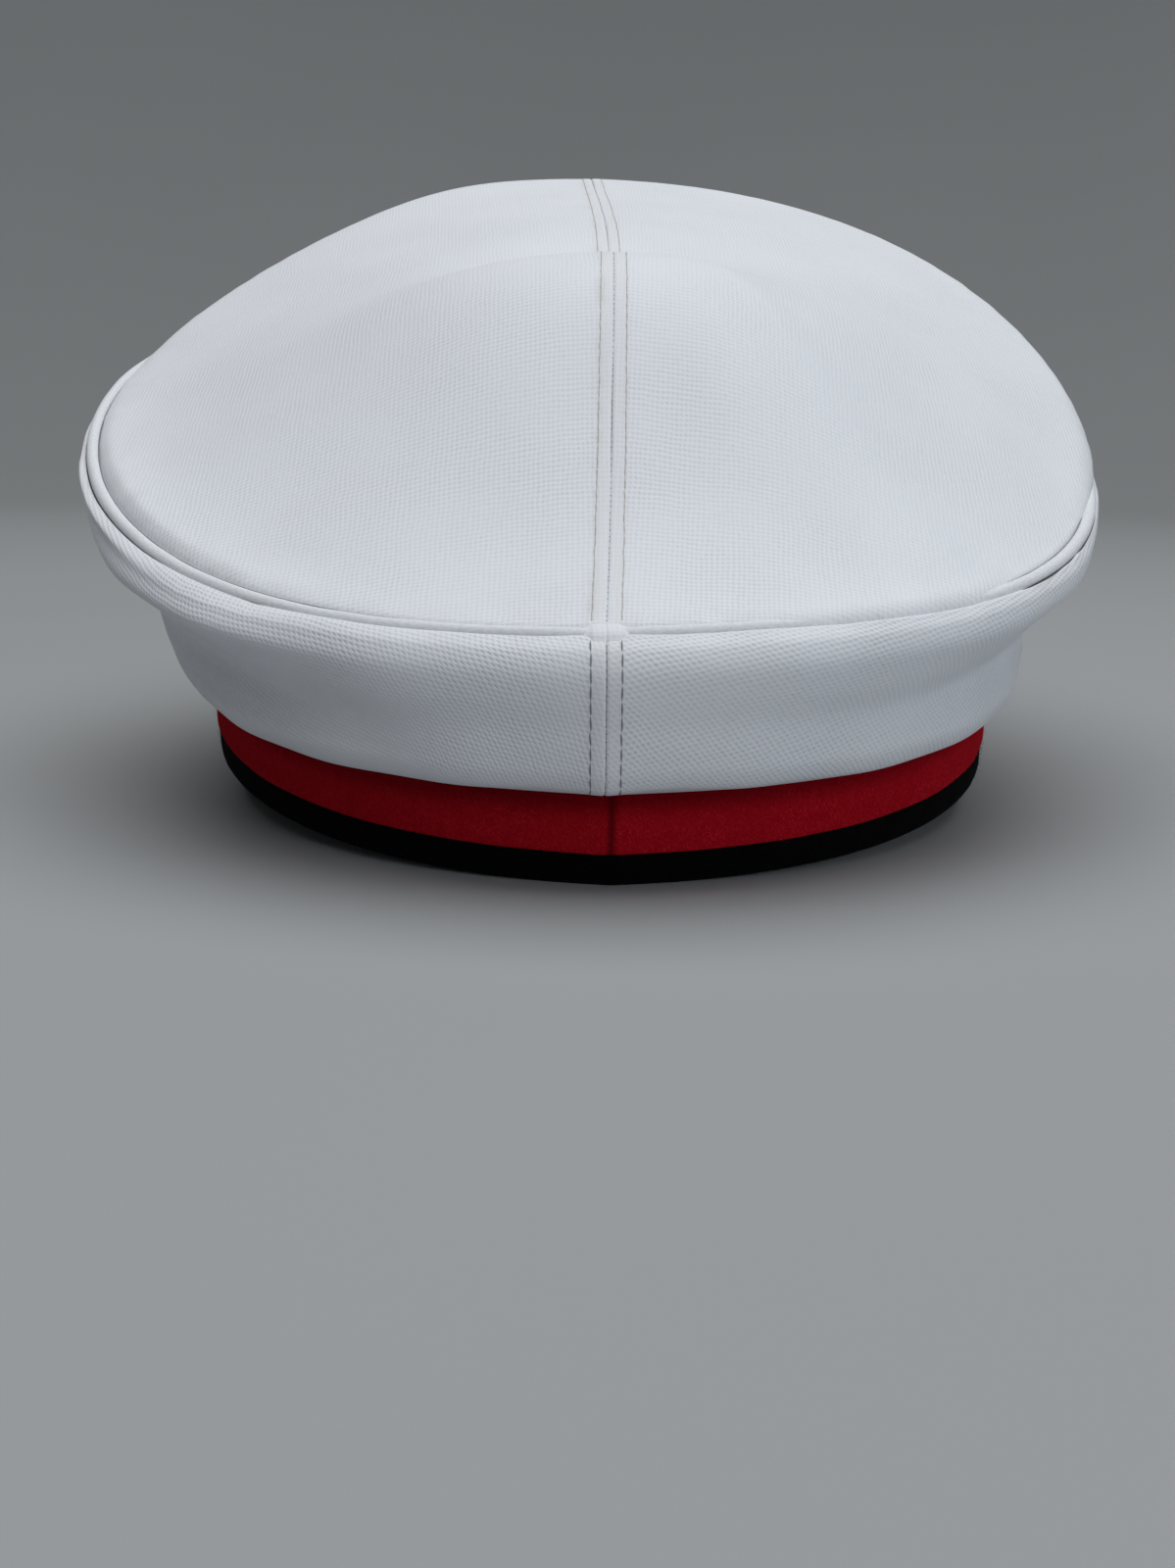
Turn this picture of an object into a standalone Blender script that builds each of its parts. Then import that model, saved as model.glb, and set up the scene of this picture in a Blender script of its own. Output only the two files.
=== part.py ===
"""Peaked cap: a soft white crown with a piped rim over a red band, with a plain black peak.

In the cap's own frame the band's lower edge lies in the plane z = 0, -Y is the front (the peak), +Y the back
and +X the wearer's left. Angles round the cap start at the back and turn towards the wearer's left.
The whole cap then leans back on an empty, so that it stands on the back of the band and the front of the
peak, as it does on a table, with the middle of its box over the origin.
"""

import math
from collections import namedtuple

import bmesh
import bpy
import numpy as np
from mathutils import Vector

# Band: an oval in plan, slightly peaked at its back seam
BAND_HALF_LENGTH = 0.104
BAND_HALF_WIDTH = 0.087
BAND_HEIGHT = 0.040
BAND_KEEL = 0.0014
BAND_KEEL_SPREAD = 0.014

# Black body of the band, thicker along its lower edge, which shows below the red felt
BODY_WALL = 0.0018
BODY_EDGE_HEIGHT = 0.006
BODY_EDGE_WALL = 0.0032
BODY_EDGE_INSET = 0.0004
BODY_EDGE_ROUND = 0.0006
FELT_WALL = 0.0015
FELT_EDGE_ROUND = 0.0004

# Coated cloth of the crown, the cord of its piping, and the clearance that touching pieces keep
CLOTH_WALL = 0.0015
PIPING_RADIUS = 0.0013
GAP = 0.0003

# Rim of the crown: how far it stands out past the band, and how high above the band's top
RIM_OUT_BACK = 0.009
RIM_OUT_SIDE = 0.021
RIM_OUT_FRONT = 0.0165
RIM_SHIFT = 0.0017
RIM_SQUARENESS = 0.0215
RIM_RISE_BACK = 0.008
RIM_RISE_SIDE = 0.031
RIM_RISE_FRONT = 0.077
RIM_SWAY = 0.0012

# Top of the crown: its puff above the plain surface that the rim would span
TOP_PUFF = 0.022
TOP_PUFF_POWER = 1.3
TOP_EDGE_LIFT = 0.0009
SEAM_BOW = 0.0027

# Side panels: how much of the band they leave bare, how far their soft rolls stand out, and how their lower
# edge turns in to meet the band
REVEAL_BACK = 0.0185
REVEAL_FRONT = 0.034
REVEAL_POWER = 2
ROLL_DEPTH = 0.010
TURN_IN_RISE = 0.0022
TURN_IN_DIP = 0.0006

# Peak: a crescent below the band's front, down to the surface that the cap stands on
PEAK_REACH = 0.043
PEAK_DROP = 0.030
PEAK_HALF_ANGLE = math.radians(62)
PEAK_WALL = 0.0024
PEAK_TIP_REACH = 0.0025
PEAK_TIP_DROP = 0.0013
PEAK_SEAT_HEIGHT = 0.0012
PEAK_ARCH = 0.0012
PEAK_FULLNESS = 2.5
PEAK_FLAT_SHARE = 0.35
PEAK_LIFT_POWER = 2.4

# Chin strap, laid on the band above the peak from button to button
STRAP_WIDTH = 0.012
STRAP_WALL = 0.002
STRAP_CLEARANCE = 0.0012
STRAP_TAIL = 0.008
BUTTON_HALF_ANGLE = math.radians(68)
BUTTON_RADIUS = 0.0055
BUTTON_HEIGHT = 0.004
BUTTON_EDGE_HEIGHT = 0.0014

# Mesh density
STATIONS_HALF = 36
SIDE_STEPS = 13
PEAK_STATIONS = 28
PEAK_STEPS = 5
STRAP_STATIONS = 28
PIPING_SIDES_LEVEL = 2
BUTTON_STEPS = 20
BUTTON_DOME_DEGREES = (30, 60, 90)
SHARP_DEGREES = 40
MERGE_DISTANCE = 0.00001

# One row for each level of the side panel, from its turned lower edge to the rim. up is the share of the
# height from edge to rim, lean the share of the rim's overhang, and back, left, right and front are shares of
# the roll's depth that the panel stands out there besides.
SideRow = namedtuple("SideRow", "name up lean back left right front")
SIDE_ROWS = (
    SideRow("fold", 0.00, 0.00, 0.50, 0.50, 0.50, 0.15),
    SideRow("lower_roll", 0.07, 0.00, 0.75, 0.70, 0.70, 0.19),
    SideRow("crease", 0.27, 0.15, 0.77, 0.65, 0.39, 0.13),
    SideRow("underside", 0.45, 0.40, 0.57, 0.53, 0.55, 0.04),
    SideRow("belly", 0.65, 0.70, 0.42, 0.49, 0.48, -0.08),
    SideRow("upper_roll", 0.82, 0.90, 0.34, 0.44, 0.26, -0.05),
    SideRow("shoulder", 0.93, 1.00, 0.22, 0.29, 0.08, -0.03),
    SideRow("rim", 1.00, 1.00, 0.06, 0.06, 0.06, 0.06),
)

# One row for each wave of the rim's height: cosine and sine parts as shares of RIM_SWAY
RimWave = namedtuple("RimWave", "order level tilt")
RIM_WAVES = (
    RimWave(1, 0.5, -0.2),
    RimWave(2, 0.0, 1.6),
    RimWave(3, -0.5, -0.7),
    RimWave(4, 0.0, -1.0),
)

# One row for each swell or dip of the top: its height as a share of TOP_PUFF, its place and spread as
# shares of the rim's half length (along, +Y) and half width (across, +X)
TopSwell = namedtuple("TopSwell", "name height along across spread_along spread_across")
TOP_SWELLS = (
    TopSwell("back_swell", 1.04, 0.40, 0.0, 0.28, 0.50),
    TopSwell("seam_dip", -0.45, 0.07, 0.0, 0.13, 0.20),
)

# Rings of the top, as shares of the way from its middle to the piping
TOP_RINGS = (0.12, 0.25, 0.38, 0.51, 0.63, 0.74, 0.84, 0.93, 1.0)

# Sizes that follow from those above
BODY_FACE = -(FELT_WALL + GAP)
BODY_INNER = -(BODY_EDGE_INSET + BODY_EDGE_WALL)
RIM_CENTRE_Y = (RIM_OUT_BACK - RIM_OUT_FRONT) / 2
RIM_HALF_LENGTH = BAND_HALF_LENGTH + (RIM_OUT_BACK + RIM_OUT_FRONT) / 2
RIM_HALF_WIDTH = BAND_HALF_WIDTH + RIM_OUT_SIDE
TOP_INSET = PIPING_RADIUS + 1.5 * GAP
STRAP_LOW = BODY_EDGE_HEIGHT + STRAP_CLEARANCE
STRAP_HIGH = STRAP_LOW + STRAP_WIDTH
REST_SLOPE = PEAK_DROP / (2 * BAND_HALF_LENGTH + PEAK_REACH)


def full_turn():
    """Angles all the way round, the last one step before the first."""
    return np.linspace(0, 2 * math.pi, 2 * STATIONS_HALF, endpoint=False)


def band_line(angle, out=0.0):
    """Plan points of the band's face moved outwards by out, and the outward directions there."""
    sine, cosine = np.sin(angle), np.cos(angle)
    normal = np.stack([sine / BAND_HALF_WIDTH, cosine / BAND_HALF_LENGTH], axis=-1)
    normal /= np.linalg.norm(normal, axis=-1, keepdims=True)
    keel = BAND_KEEL * np.exp(-np.abs(BAND_HALF_WIDTH * sine) / BAND_KEEL_SPREAD) * (cosine > 0)
    oval = np.stack([BAND_HALF_WIDTH * sine, BAND_HALF_LENGTH * cosine], axis=-1)
    return oval + normal * (keel + out)[..., None], normal


def rim_plan(angle):
    """Plan points of the rim: an oval, a little squarer than an ellipse."""
    width = RIM_HALF_WIDTH / (1 - RIM_SQUARENESS)
    x = RIM_SHIFT + width * (np.sin(angle) + RIM_SQUARENESS * np.sin(3 * angle))
    y = RIM_CENTRE_Y + RIM_HALF_LENGTH * np.cos(angle)
    return np.stack([x, y], axis=-1)


def rim_span(share, angle):
    """Height of the smooth surface spanned by the rim, at a share of the way out to it."""
    mean = (RIM_RISE_BACK + RIM_RISE_FRONT) / 4 + RIM_RISE_SIDE / 2
    slope = (RIM_RISE_BACK - RIM_RISE_FRONT) / 2
    saddle = (RIM_RISE_BACK + RIM_RISE_FRONT) / 4 - RIM_RISE_SIDE / 2
    height = BAND_HEIGHT + mean + slope * share * np.cos(angle) + saddle * share**2 * np.cos(2 * angle)
    for wave in RIM_WAVES:
        turn = wave.order * angle
        height += RIM_SWAY * share**wave.order * (wave.level * np.cos(turn) + wave.tilt * np.sin(turn))
    return height


def top_height(share, angle, plan):
    """Height of the top's outer face: the rim's span, puffed up, with its swells and dips."""
    dome = (1 - share**2) ** TOP_PUFF_POWER
    along = (plan[..., 1] - RIM_CENTRE_Y) / RIM_HALF_LENGTH
    across = (plan[..., 0] - RIM_SHIFT) / RIM_HALF_WIDTH
    puff = 1.0
    for swell in TOP_SWELLS:
        far_along = (along - swell.along) / swell.spread_along
        far_across = (across - swell.across) / swell.spread_across
        puff = puff + swell.height * np.exp(-(far_along**2 + far_across**2) / 2)
    return rim_span(share, angle) + TOP_PUFF * dome * puff + TOP_EDGE_LIFT


def fold_height(angle):
    """Height of the side panel's lower edge: level round the back and sides, rising to the front."""
    forward = (1 - np.cos(angle)) / 2
    return REVEAL_BACK + (REVEAL_FRONT - REVEAL_BACK) * forward**REVEAL_POWER


def side_roll(row, angle):
    """How far a row of the side panel stands out besides its share of the overhang."""
    lengthwise = np.cos(angle) ** 2 * np.where(np.cos(angle) > 0, row.back, row.front)
    crosswise = np.sin(angle) ** 2 * np.where(np.sin(angle) > 0, row.left, row.right)
    return ROLL_DEPTH * (lengthwise + crosswise)


def smooth_rows(rows, steps):
    """Points of a smooth curve through rows, each an array of points, at even steps from first to last."""
    rows = np.concatenate([2 * rows[:1] - rows[1:2], rows, 2 * rows[-1:] - rows[-2:-1]])
    place = np.linspace(0, len(rows) - 3, steps)
    first = np.minimum(place.astype(int), len(rows) - 4)
    part = (place - first)[:, None, None]
    before, start, end, after = (rows[first + step] for step in range(4))
    return (start + 0.5 * part * (end - before)
            + part**2 * (before - 2.5 * start + 2 * end - 0.5 * after)
            + part**3 * (1.5 * (start - end) + 0.5 * (after - before)))


def side_rows(angle):
    """Rows of the side panel's outer face, from its turned-in edge over the fold and up to the piping."""
    face, normal = band_line(angle)
    overhang = rim_plan(angle) - face
    fold = fold_height(angle)
    rim = rim_span(1.0, angle) - PIPING_RADIUS - GAP
    rows = []
    for row in SIDE_ROWS:
        plan = face + overhang * row.lean + normal * side_roll(row, angle)[:, None]
        rows.append(np.column_stack([plan, fold + (rim - fold) * row.up]))
    seat = np.column_stack([face + normal * GAP, fold + TURN_IN_RISE])
    under = np.column_stack([(face + normal * GAP + rows[0][:, :2]) / 2, fold - TURN_IN_DIP])
    return np.concatenate([[seat, under], smooth_rows(np.array(rows), SIDE_STEPS)])


def new_piece(name, data, material, parts, lean):
    """Put a mesh or a curve in the scene as one piece of the cap, on the leaning empty."""
    data.materials.append(material)
    piece = bpy.data.objects.new(name, data)
    parts.objects.link(piece)
    piece.parent = lean
    return piece


def panel_mesh(name, rows, upside_down, pole=None):
    """Open mesh of rows of points, the first row closed to the pole if there is one."""
    form = bmesh.new()
    rows = [[form.verts.new(point) for point in row] for row in rows]
    for lower, upper in zip(rows, rows[1:]):
        for step in range(len(lower) - 1):
            form.faces.new((lower[step], lower[step + 1], upper[step + 1], upper[step]))
    if pole is not None:
        middle = form.verts.new(pole)
        for step in range(len(rows[0]) - 1):
            form.faces.new((middle, rows[0][step + 1], rows[0][step]))
    if upside_down:
        bmesh.ops.reverse_faces(form, faces=form.faces[:])
    mesh = bpy.data.meshes.new(name)
    form.to_mesh(mesh)
    form.free()
    mesh.shade_smooth()
    return mesh


def loft_mesh(name, sections, ring=False):
    """Closed mesh through sections of like points, joined end to end as a ring or capped at both ends."""
    form = bmesh.new()
    loops = [[form.verts.new(point) for point in section] for section in sections]
    following = loops[1:] + loops[:1] if ring else loops[1:]
    for near, far in zip(loops, following):
        for step in range(len(near)):
            after = (step + 1) % len(near)
            form.faces.new((near[step], near[after], far[after], far[step]))
    if not ring:
        form.faces.new(loops[0])
        form.faces.new(loops[-1])
    bmesh.ops.recalc_face_normals(form, faces=form.faces[:])
    mesh = bpy.data.meshes.new(name)
    form.to_mesh(mesh)
    form.free()
    mesh.shade_smooth()
    mesh.set_sharp_from_angle(angle=math.radians(SHARP_DEGREES))
    return mesh


def add_wall(piece, thickness):
    """Give an open panel its wall, on the side away from its faces."""
    wall = piece.modifiers.new("wall", "SOLIDIFY")
    wall.thickness = thickness
    wall.offset = -1.0


def add_top_panel(name, side, material, parts, lean):
    """Half of the crown's top, from the centre seam out to the piping."""
    angle = side * np.linspace(0, math.pi, STATIONS_HALF + 1)
    middle = np.array([RIM_SHIFT, RIM_CENTRE_Y])
    outwards = rim_plan(angle) - middle
    edge = outwards * (1 - TOP_INSET / np.linalg.norm(outwards, axis=1, keepdims=True))
    bow = np.array([-SEAM_BOW, 0.0])
    seam = np.array([side * GAP / 2, 0.0, 0.0])
    rows = []
    for share in TOP_RINGS:
        plan = middle + share * edge + bow * (1 - share**2)
        rows.append(np.column_stack([plan, top_height(share, angle, plan)]) + seam)
    pole = np.array([*(middle + bow), top_height(0.0, 0.0, middle + bow)]) + seam
    mesh = panel_mesh(name, rows, side > 0, pole=pole)
    piece = new_piece(name, mesh, material, parts, lean)
    add_wall(piece, CLOTH_WALL)


def add_side_panel(name, side, material, parts, lean):
    """Half of the crown's side, from the back seam to the front seam, turned in over the band below."""
    seam = GAP / 2 / BAND_HALF_WIDTH
    angle = side * np.linspace(0, math.pi, STATIONS_HALF + 1)
    angle[0] = side * seam
    angle[-1] = side * (math.pi - seam)
    mesh = panel_mesh(name, side_rows(angle), side > 0)
    piece = new_piece(name, mesh, material, parts, lean)
    add_wall(piece, CLOTH_WALL)


def add_piping(material, parts, lean):
    """The piping: one closed cord along the rim."""
    angle = full_turn()
    points = np.column_stack([rim_plan(angle), rim_span(1.0, angle), np.ones_like(angle)])
    curve = bpy.data.curves.new("piping", "CURVE")
    curve.dimensions = "3D"
    curve.bevel_depth = PIPING_RADIUS
    curve.bevel_resolution = PIPING_SIDES_LEVEL
    spline = curve.splines.new("POLY")
    spline.points.add(len(points) - 1)
    spline.points.foreach_set("co", points.ravel())
    spline.use_cyclic_u = True
    new_piece("piping", curve, material, parts, lean)


def add_band_ring(name, profile, material, parts, lean):
    """A ring of the band: a profile of (out, up) points carried round it."""
    angle = full_turn()
    lines = []
    for out, up in profile:
        plan, _ = band_line(angle, out)
        lines.append(np.column_stack([plan, np.full_like(angle, up)]))
    mesh = loft_mesh(name, np.stack(lines, axis=1), ring=True)
    new_piece(name, mesh, material, parts, lean)


def add_band(black, red, parts, lean):
    """The band: a black body with a thicker lower edge, and the red felt laid round it above that edge."""
    edge_face = -BODY_EDGE_INSET
    body = (
        (edge_face - BODY_EDGE_ROUND, 0.0),
        (edge_face, BODY_EDGE_ROUND),
        (edge_face, BODY_EDGE_HEIGHT - GAP),
        (BODY_FACE, BODY_EDGE_HEIGHT - GAP),
        (BODY_FACE, BAND_HEIGHT),
        (BODY_FACE - BODY_WALL, BAND_HEIGHT),
        (BODY_FACE - BODY_WALL, BODY_EDGE_HEIGHT),
        (BODY_INNER, BODY_EDGE_HEIGHT - BODY_EDGE_ROUND),
        (BODY_INNER, BODY_EDGE_ROUND),
        (BODY_INNER + BODY_EDGE_ROUND, 0.0),
    )
    felt = (
        (-FELT_WALL, BODY_EDGE_HEIGHT),
        (-FELT_EDGE_ROUND, BODY_EDGE_HEIGHT),
        (0.0, BODY_EDGE_HEIGHT + FELT_EDGE_ROUND),
        (0.0, BAND_HEIGHT),
        (-FELT_WALL, BAND_HEIGHT),
    )
    add_band_ring("band_body", body, black, parts, lean)
    add_band_ring("band_felt", felt, red, parts, lean)


def peak_section(share):
    """Closed section of the peak at a share of its half width from -1 to 1, from its seat to its edge."""
    seat, normal = band_line(math.pi + share * PEAK_HALF_ANGLE, GAP - BODY_EDGE_INSET)
    reach = PEAK_TIP_REACH + (PEAK_REACH - PEAK_TIP_REACH) * (1 - abs(share) ** PEAK_FULLNESS)
    edge = seat + normal * reach
    ground = -REST_SLOPE * (BAND_HALF_LENGTH - edge[1])
    tip_ground = -REST_SLOPE * BAND_HALF_LENGTH * (1 + math.cos(PEAK_HALF_ANGLE))
    past_flat = max(0.0, abs(share) - PEAK_FLAT_SHARE) / (1 - PEAK_FLAT_SHARE)
    lift = past_flat**PEAK_LIFT_POWER * (-PEAK_TIP_DROP - tip_ground)
    fall = PEAK_SEAT_HEIGHT - ground - lift
    slope = math.atan2(fall, reach)
    lower = []
    upper = []
    for part in np.linspace(0, 1, PEAK_STEPS):
        arch = PEAK_ARCH * 4 * part * (1 - part) * reach / PEAK_REACH
        out = part * reach
        height = PEAK_SEAT_HEIGHT - part * fall + arch
        out_above = out + part * PEAK_WALL * math.sin(slope)
        height_above = height + PEAK_WALL * math.cos(slope) ** (2 * part - 1)
        lower.append((*(seat + normal * out), height))
        upper.append((*(seat + normal * out_above), height_above))
    return lower + upper[::-1]


def add_peak(material, parts, lean):
    """The peak: a stiff crescent from the band's lower edge, its front edge in the plane the cap rests on."""
    sections = [peak_section(share) for share in np.linspace(-1, 1, PEAK_STATIONS)]
    new_piece("peak", loft_mesh("peak", sections), material, parts, lean)


def add_strap(material, parts, lean):
    """The chin strap: a flat strap laid on the band above the peak, a short tail past each button."""
    button, _ = band_line(math.pi - BUTTON_HALF_ANGLE)
    tail = STRAP_TAIL / np.linalg.norm(button)
    reach = BUTTON_HALF_ANGLE + tail
    sections = []
    for angle in np.linspace(math.pi - reach, math.pi + reach, STRAP_STATIONS):
        inner, _ = band_line(angle, GAP)
        outer, _ = band_line(angle, GAP + STRAP_WALL)
        sections.append([(*inner, STRAP_LOW), (*outer, STRAP_LOW), (*outer, STRAP_HIGH), (*inner, STRAP_HIGH)])
    new_piece("chin_strap", loft_mesh("chin_strap", sections), material, parts, lean)


def add_button(name, side, material, parts, lean):
    """A plain domed button on the strap: a profile turned about its axis, which points out from the band."""
    seat, normal = band_line(math.pi - side * BUTTON_HALF_ANGLE, 2 * GAP + STRAP_WALL)
    dome = BUTTON_HEIGHT - BUTTON_EDGE_HEIGHT
    profile = [(0.0, 0.0, BUTTON_HEIGHT)]
    for turn in np.radians(BUTTON_DOME_DEGREES):
        profile.append((BUTTON_RADIUS * math.sin(turn), 0.0, BUTTON_EDGE_HEIGHT + dome * math.cos(turn)))
    profile += [(BUTTON_RADIUS, 0.0, 0.0), (0.0, 0.0, 0.0)]
    edges = [(index, index + 1) for index in range(len(profile) - 1)]
    mesh = bpy.data.meshes.new(name)
    mesh.from_pydata(profile, edges, [])
    piece = new_piece(name, mesh, material, parts, lean)
    screw = piece.modifiers.new("turn", "SCREW")
    screw.steps = BUTTON_STEPS
    screw.render_steps = BUTTON_STEPS
    screw.use_merge_vertices = True
    screw.merge_threshold = MERGE_DISTANCE
    piece.rotation_euler = Vector((*normal, 0.0)).to_track_quat("Z", "Y").to_euler()
    piece.location = (*seat, (STRAP_LOW + STRAP_HIGH) / 2)


def new_material(name, colour, roughness, metallic=0.0):
    """Plain Principled BSDF material."""
    material = bpy.data.materials.new(name)
    material.use_nodes = True
    shader = material.node_tree.nodes["Principled BSDF"]
    shader.inputs["Base Color"].default_value = (*colour, 1.0)
    shader.inputs["Roughness"].default_value = roughness
    shader.inputs["Metallic"].default_value = metallic
    return material


def clear_scene():
    """Remove what the file opens with."""
    for item in list(bpy.data.objects):
        bpy.data.objects.remove(item, do_unlink=True)


def piece_points(piece, graph):
    """World points of a piece as it is built, its modifiers included."""
    built = piece.evaluated_get(graph)
    mesh = built.to_mesh()
    points = np.empty(len(mesh.vertices) * 3)
    mesh.vertices.foreach_get("co", points)
    built.to_mesh_clear()
    place = np.array(built.matrix_world)
    return points.reshape(-1, 3) @ place[:3, :3].T + place[:3, 3]


def stand_on_origin(lean):
    """Lean the cap back onto its peak and band, and put the middle of its box over the origin."""
    lean.rotation_euler = (-math.atan(REST_SLOPE), 0.0, 0.0)
    bpy.context.view_layer.update()
    graph = bpy.context.evaluated_depsgraph_get()
    points = np.concatenate([piece_points(piece, graph) for piece in lean.children])
    low = points.min(axis=0)
    high = points.max(axis=0)
    lean.location = (-(low[0] + high[0]) / 2, -(low[1] + high[1]) / 2, -low[2])
    bpy.context.view_layer.update()


def main():
    """Build every piece of the cap."""
    clear_scene()
    parts = bpy.data.collections.new("peaked_cap")
    bpy.context.scene.collection.children.link(parts)
    lean = bpy.data.objects.new("cap_lean", None)
    parts.objects.link(lean)

    white_top = new_material("white_top_cloth", (0.74, 0.76, 0.80), 0.45)
    white_side = new_material("white_side_cloth", (0.70, 0.73, 0.78), 0.50)
    white_piping = new_material("white_piping", (0.72, 0.74, 0.78), 0.45)
    red_felt = new_material("red_felt", (0.22, 0.004, 0.010), 0.95)
    black_cloth = new_material("black_cloth", (0.006, 0.006, 0.006), 0.90)
    peak_leather = new_material("peak_leather", (0.008, 0.008, 0.008), 0.15)
    strap_leather = new_material("strap_leather", (0.010, 0.010, 0.010), 0.25)
    button_brass = new_material("button_brass", (0.75, 0.55, 0.22), 0.30, 1.0)

    for side_name, side in (("left", 1), ("right", -1)):
        add_top_panel(f"top_{side_name}", side, white_top, parts, lean)
        add_side_panel(f"side_{side_name}", side, white_side, parts, lean)
        add_button(f"strap_button_{side_name}", side, button_brass, parts, lean)
    add_piping(white_piping, parts, lean)
    add_band(black_cloth, red_felt, parts, lean)
    add_peak(peak_leather, parts, lean)
    add_strap(strap_leather, parts, lean)
    stand_on_origin(lean)


main()
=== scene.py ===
"""Peaked cap: the sewn, coated crown, the felt band, the peak and the strap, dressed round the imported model.

Every surface is worked out in the cap's own frame, as the solids are: the band's lower edge lies in the plane
z = 0, -Y is the front with the peak, +Y the back and +X the wearer's left. Angles round the cap start at the
back and turn towards the wearer's left. CapForm.stand then leans it back as it rests on a table.
"""

import logging
import math
from collections.abc import Sequence
from dataclasses import dataclass
from enum import Enum
from typing import NamedTuple

import bpy
import numpy as np
from mathutils import Matrix


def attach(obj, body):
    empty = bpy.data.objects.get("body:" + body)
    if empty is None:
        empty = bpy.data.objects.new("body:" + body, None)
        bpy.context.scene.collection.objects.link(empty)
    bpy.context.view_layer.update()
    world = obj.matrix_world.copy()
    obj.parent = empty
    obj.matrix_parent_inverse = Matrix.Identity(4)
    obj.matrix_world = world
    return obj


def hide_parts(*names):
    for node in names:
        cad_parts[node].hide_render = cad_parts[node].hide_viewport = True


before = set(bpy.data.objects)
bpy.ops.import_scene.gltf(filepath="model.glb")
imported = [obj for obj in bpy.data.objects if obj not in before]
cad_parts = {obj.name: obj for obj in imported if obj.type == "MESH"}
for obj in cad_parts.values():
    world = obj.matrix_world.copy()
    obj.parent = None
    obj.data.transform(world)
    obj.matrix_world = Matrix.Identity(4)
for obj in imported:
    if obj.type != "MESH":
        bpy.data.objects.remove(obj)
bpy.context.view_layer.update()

LOG = logging.getLogger("peaked_cap")
Array = np.ndarray
Colour = tuple[float, float, float]
Span = tuple[float, float]
Pair = tuple[Array, Array]
Marks = dict[str, Array]
Tree = bpy.types.NodeTree
Material = bpy.types.Material
Socket = bpy.types.NodeSocket


class Side(Enum):
    """The wearer's left or right, as the sign of X."""

    LEFT = 1
    RIGHT = -1

    @property
    def word(self) -> str:
        """The side's name as pieces and nodes spell it."""
        return self.name.lower()


class Slot(Enum):
    """Material slots of the record."""

    TOP = "top_cloth"
    SIDE = "side_cloth"
    PIPING = "piping_cloth"
    RED = "red_felt"
    BLACK = "black_cloth"
    PEAK = "peak_leather"
    STRAP = "strap_leather"
    BUTTON = "button_brass"


class SideRow(NamedTuple):
    """One level of the side panel: up is the share of its height and lean the share of the rim's overhang.

    The rest are shares of the roll's depth that it stands out besides: at the back, left, right and front, and
    then what the hollows at the back's left and right add.
    """

    name: str
    up: float
    lean: float
    back: float
    left: float
    right: float
    front: float
    left_corner: float
    right_corner: float


class RimWave(NamedTuple):
    """One wave of the rim's height: its cosine and sine parts as shares of the sway."""

    order: int
    level: float
    tilt: float


class RimDroop(NamedTuple):
    """One place where the rim hangs lower: how far, the angle round the cap and the spread of the angle."""

    name: str
    depth: float
    angle: float
    spread: float


class RimSwell(NamedTuple):
    """One swell of the top along its edge: its height, the angle round the cap and the spread of the angle.

    It rises over the distance reach from the rim and fades over the distance fade.
    """

    name: str
    height: float
    angle: float
    spread: float
    reach: float
    fade: float


class TopSwell(NamedTuple):
    """One swell of the top: height as a share of the puff, place and spread as shares of the half sizes."""

    name: str
    height: float
    along: float
    across: float
    spread_along: float
    spread_across: float


class ShadowLine(NamedTuple):
    """One dark strand beside the piping, painted shadow of the groove there: in the shadow's finish outside the
    piping, and in the thread's, as the seam's thread, inside it. Each key holds the angle round the cap, the
    distance from the piping's skin, the way that it lies from the piping's centre, up from outwards, and its
    radius; angles in degrees."""

    name: str
    keys: tuple[tuple[float, float, float, float], ...]


SIDE_ROWS = (
    SideRow("fold", 0.00, 0.00, 0.78, 0.48, 0.36, 0.15, 0.05, 0.08),
    SideRow("lower_roll", 0.05, 0.00, 1.04, 0.61, 0.44, 0.19, 0.07, 0.04),
    SideRow("roll_top", 0.15, 0.03, 1.17, 0.80, 0.46, 0.17, 0.04, 0.04),
    SideRow("crease", 0.27, 0.15, 1.13, 0.67, 0.28, 0.12, -0.16, -0.06),
    SideRow("valley", 0.45, 0.40, 1.00, 0.33, 0.05, 0.04, -0.45, -0.30),
    SideRow("belly", 0.64, 0.70, 0.85, 0.50, 0.04, -0.08, -0.30, -0.18),
    SideRow("upper_roll", 0.81, 0.90, 0.69, 0.37, 0.12, -0.05, 0.20, 0.02),
    SideRow("shoulder", 0.93, 1.00, 0.46, 0.20, 0.14, 0.05, 0.15, 0.02),
)
RIM_WAVES = (RimWave(1, 0.5, -0.2), RimWave(2, 0.0, 1.6), RimWave(3, -0.5, -0.7), RimWave(4, 0.0, -1.0))
RIM_DROOPS = (RimDroop("left", 0.0020, 45.0, 25.0), RimDroop("right", 0.0019, -33.0, 22.0),
              RimDroop("left_flank", 0.0007, 66.0, 11.0))
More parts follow.
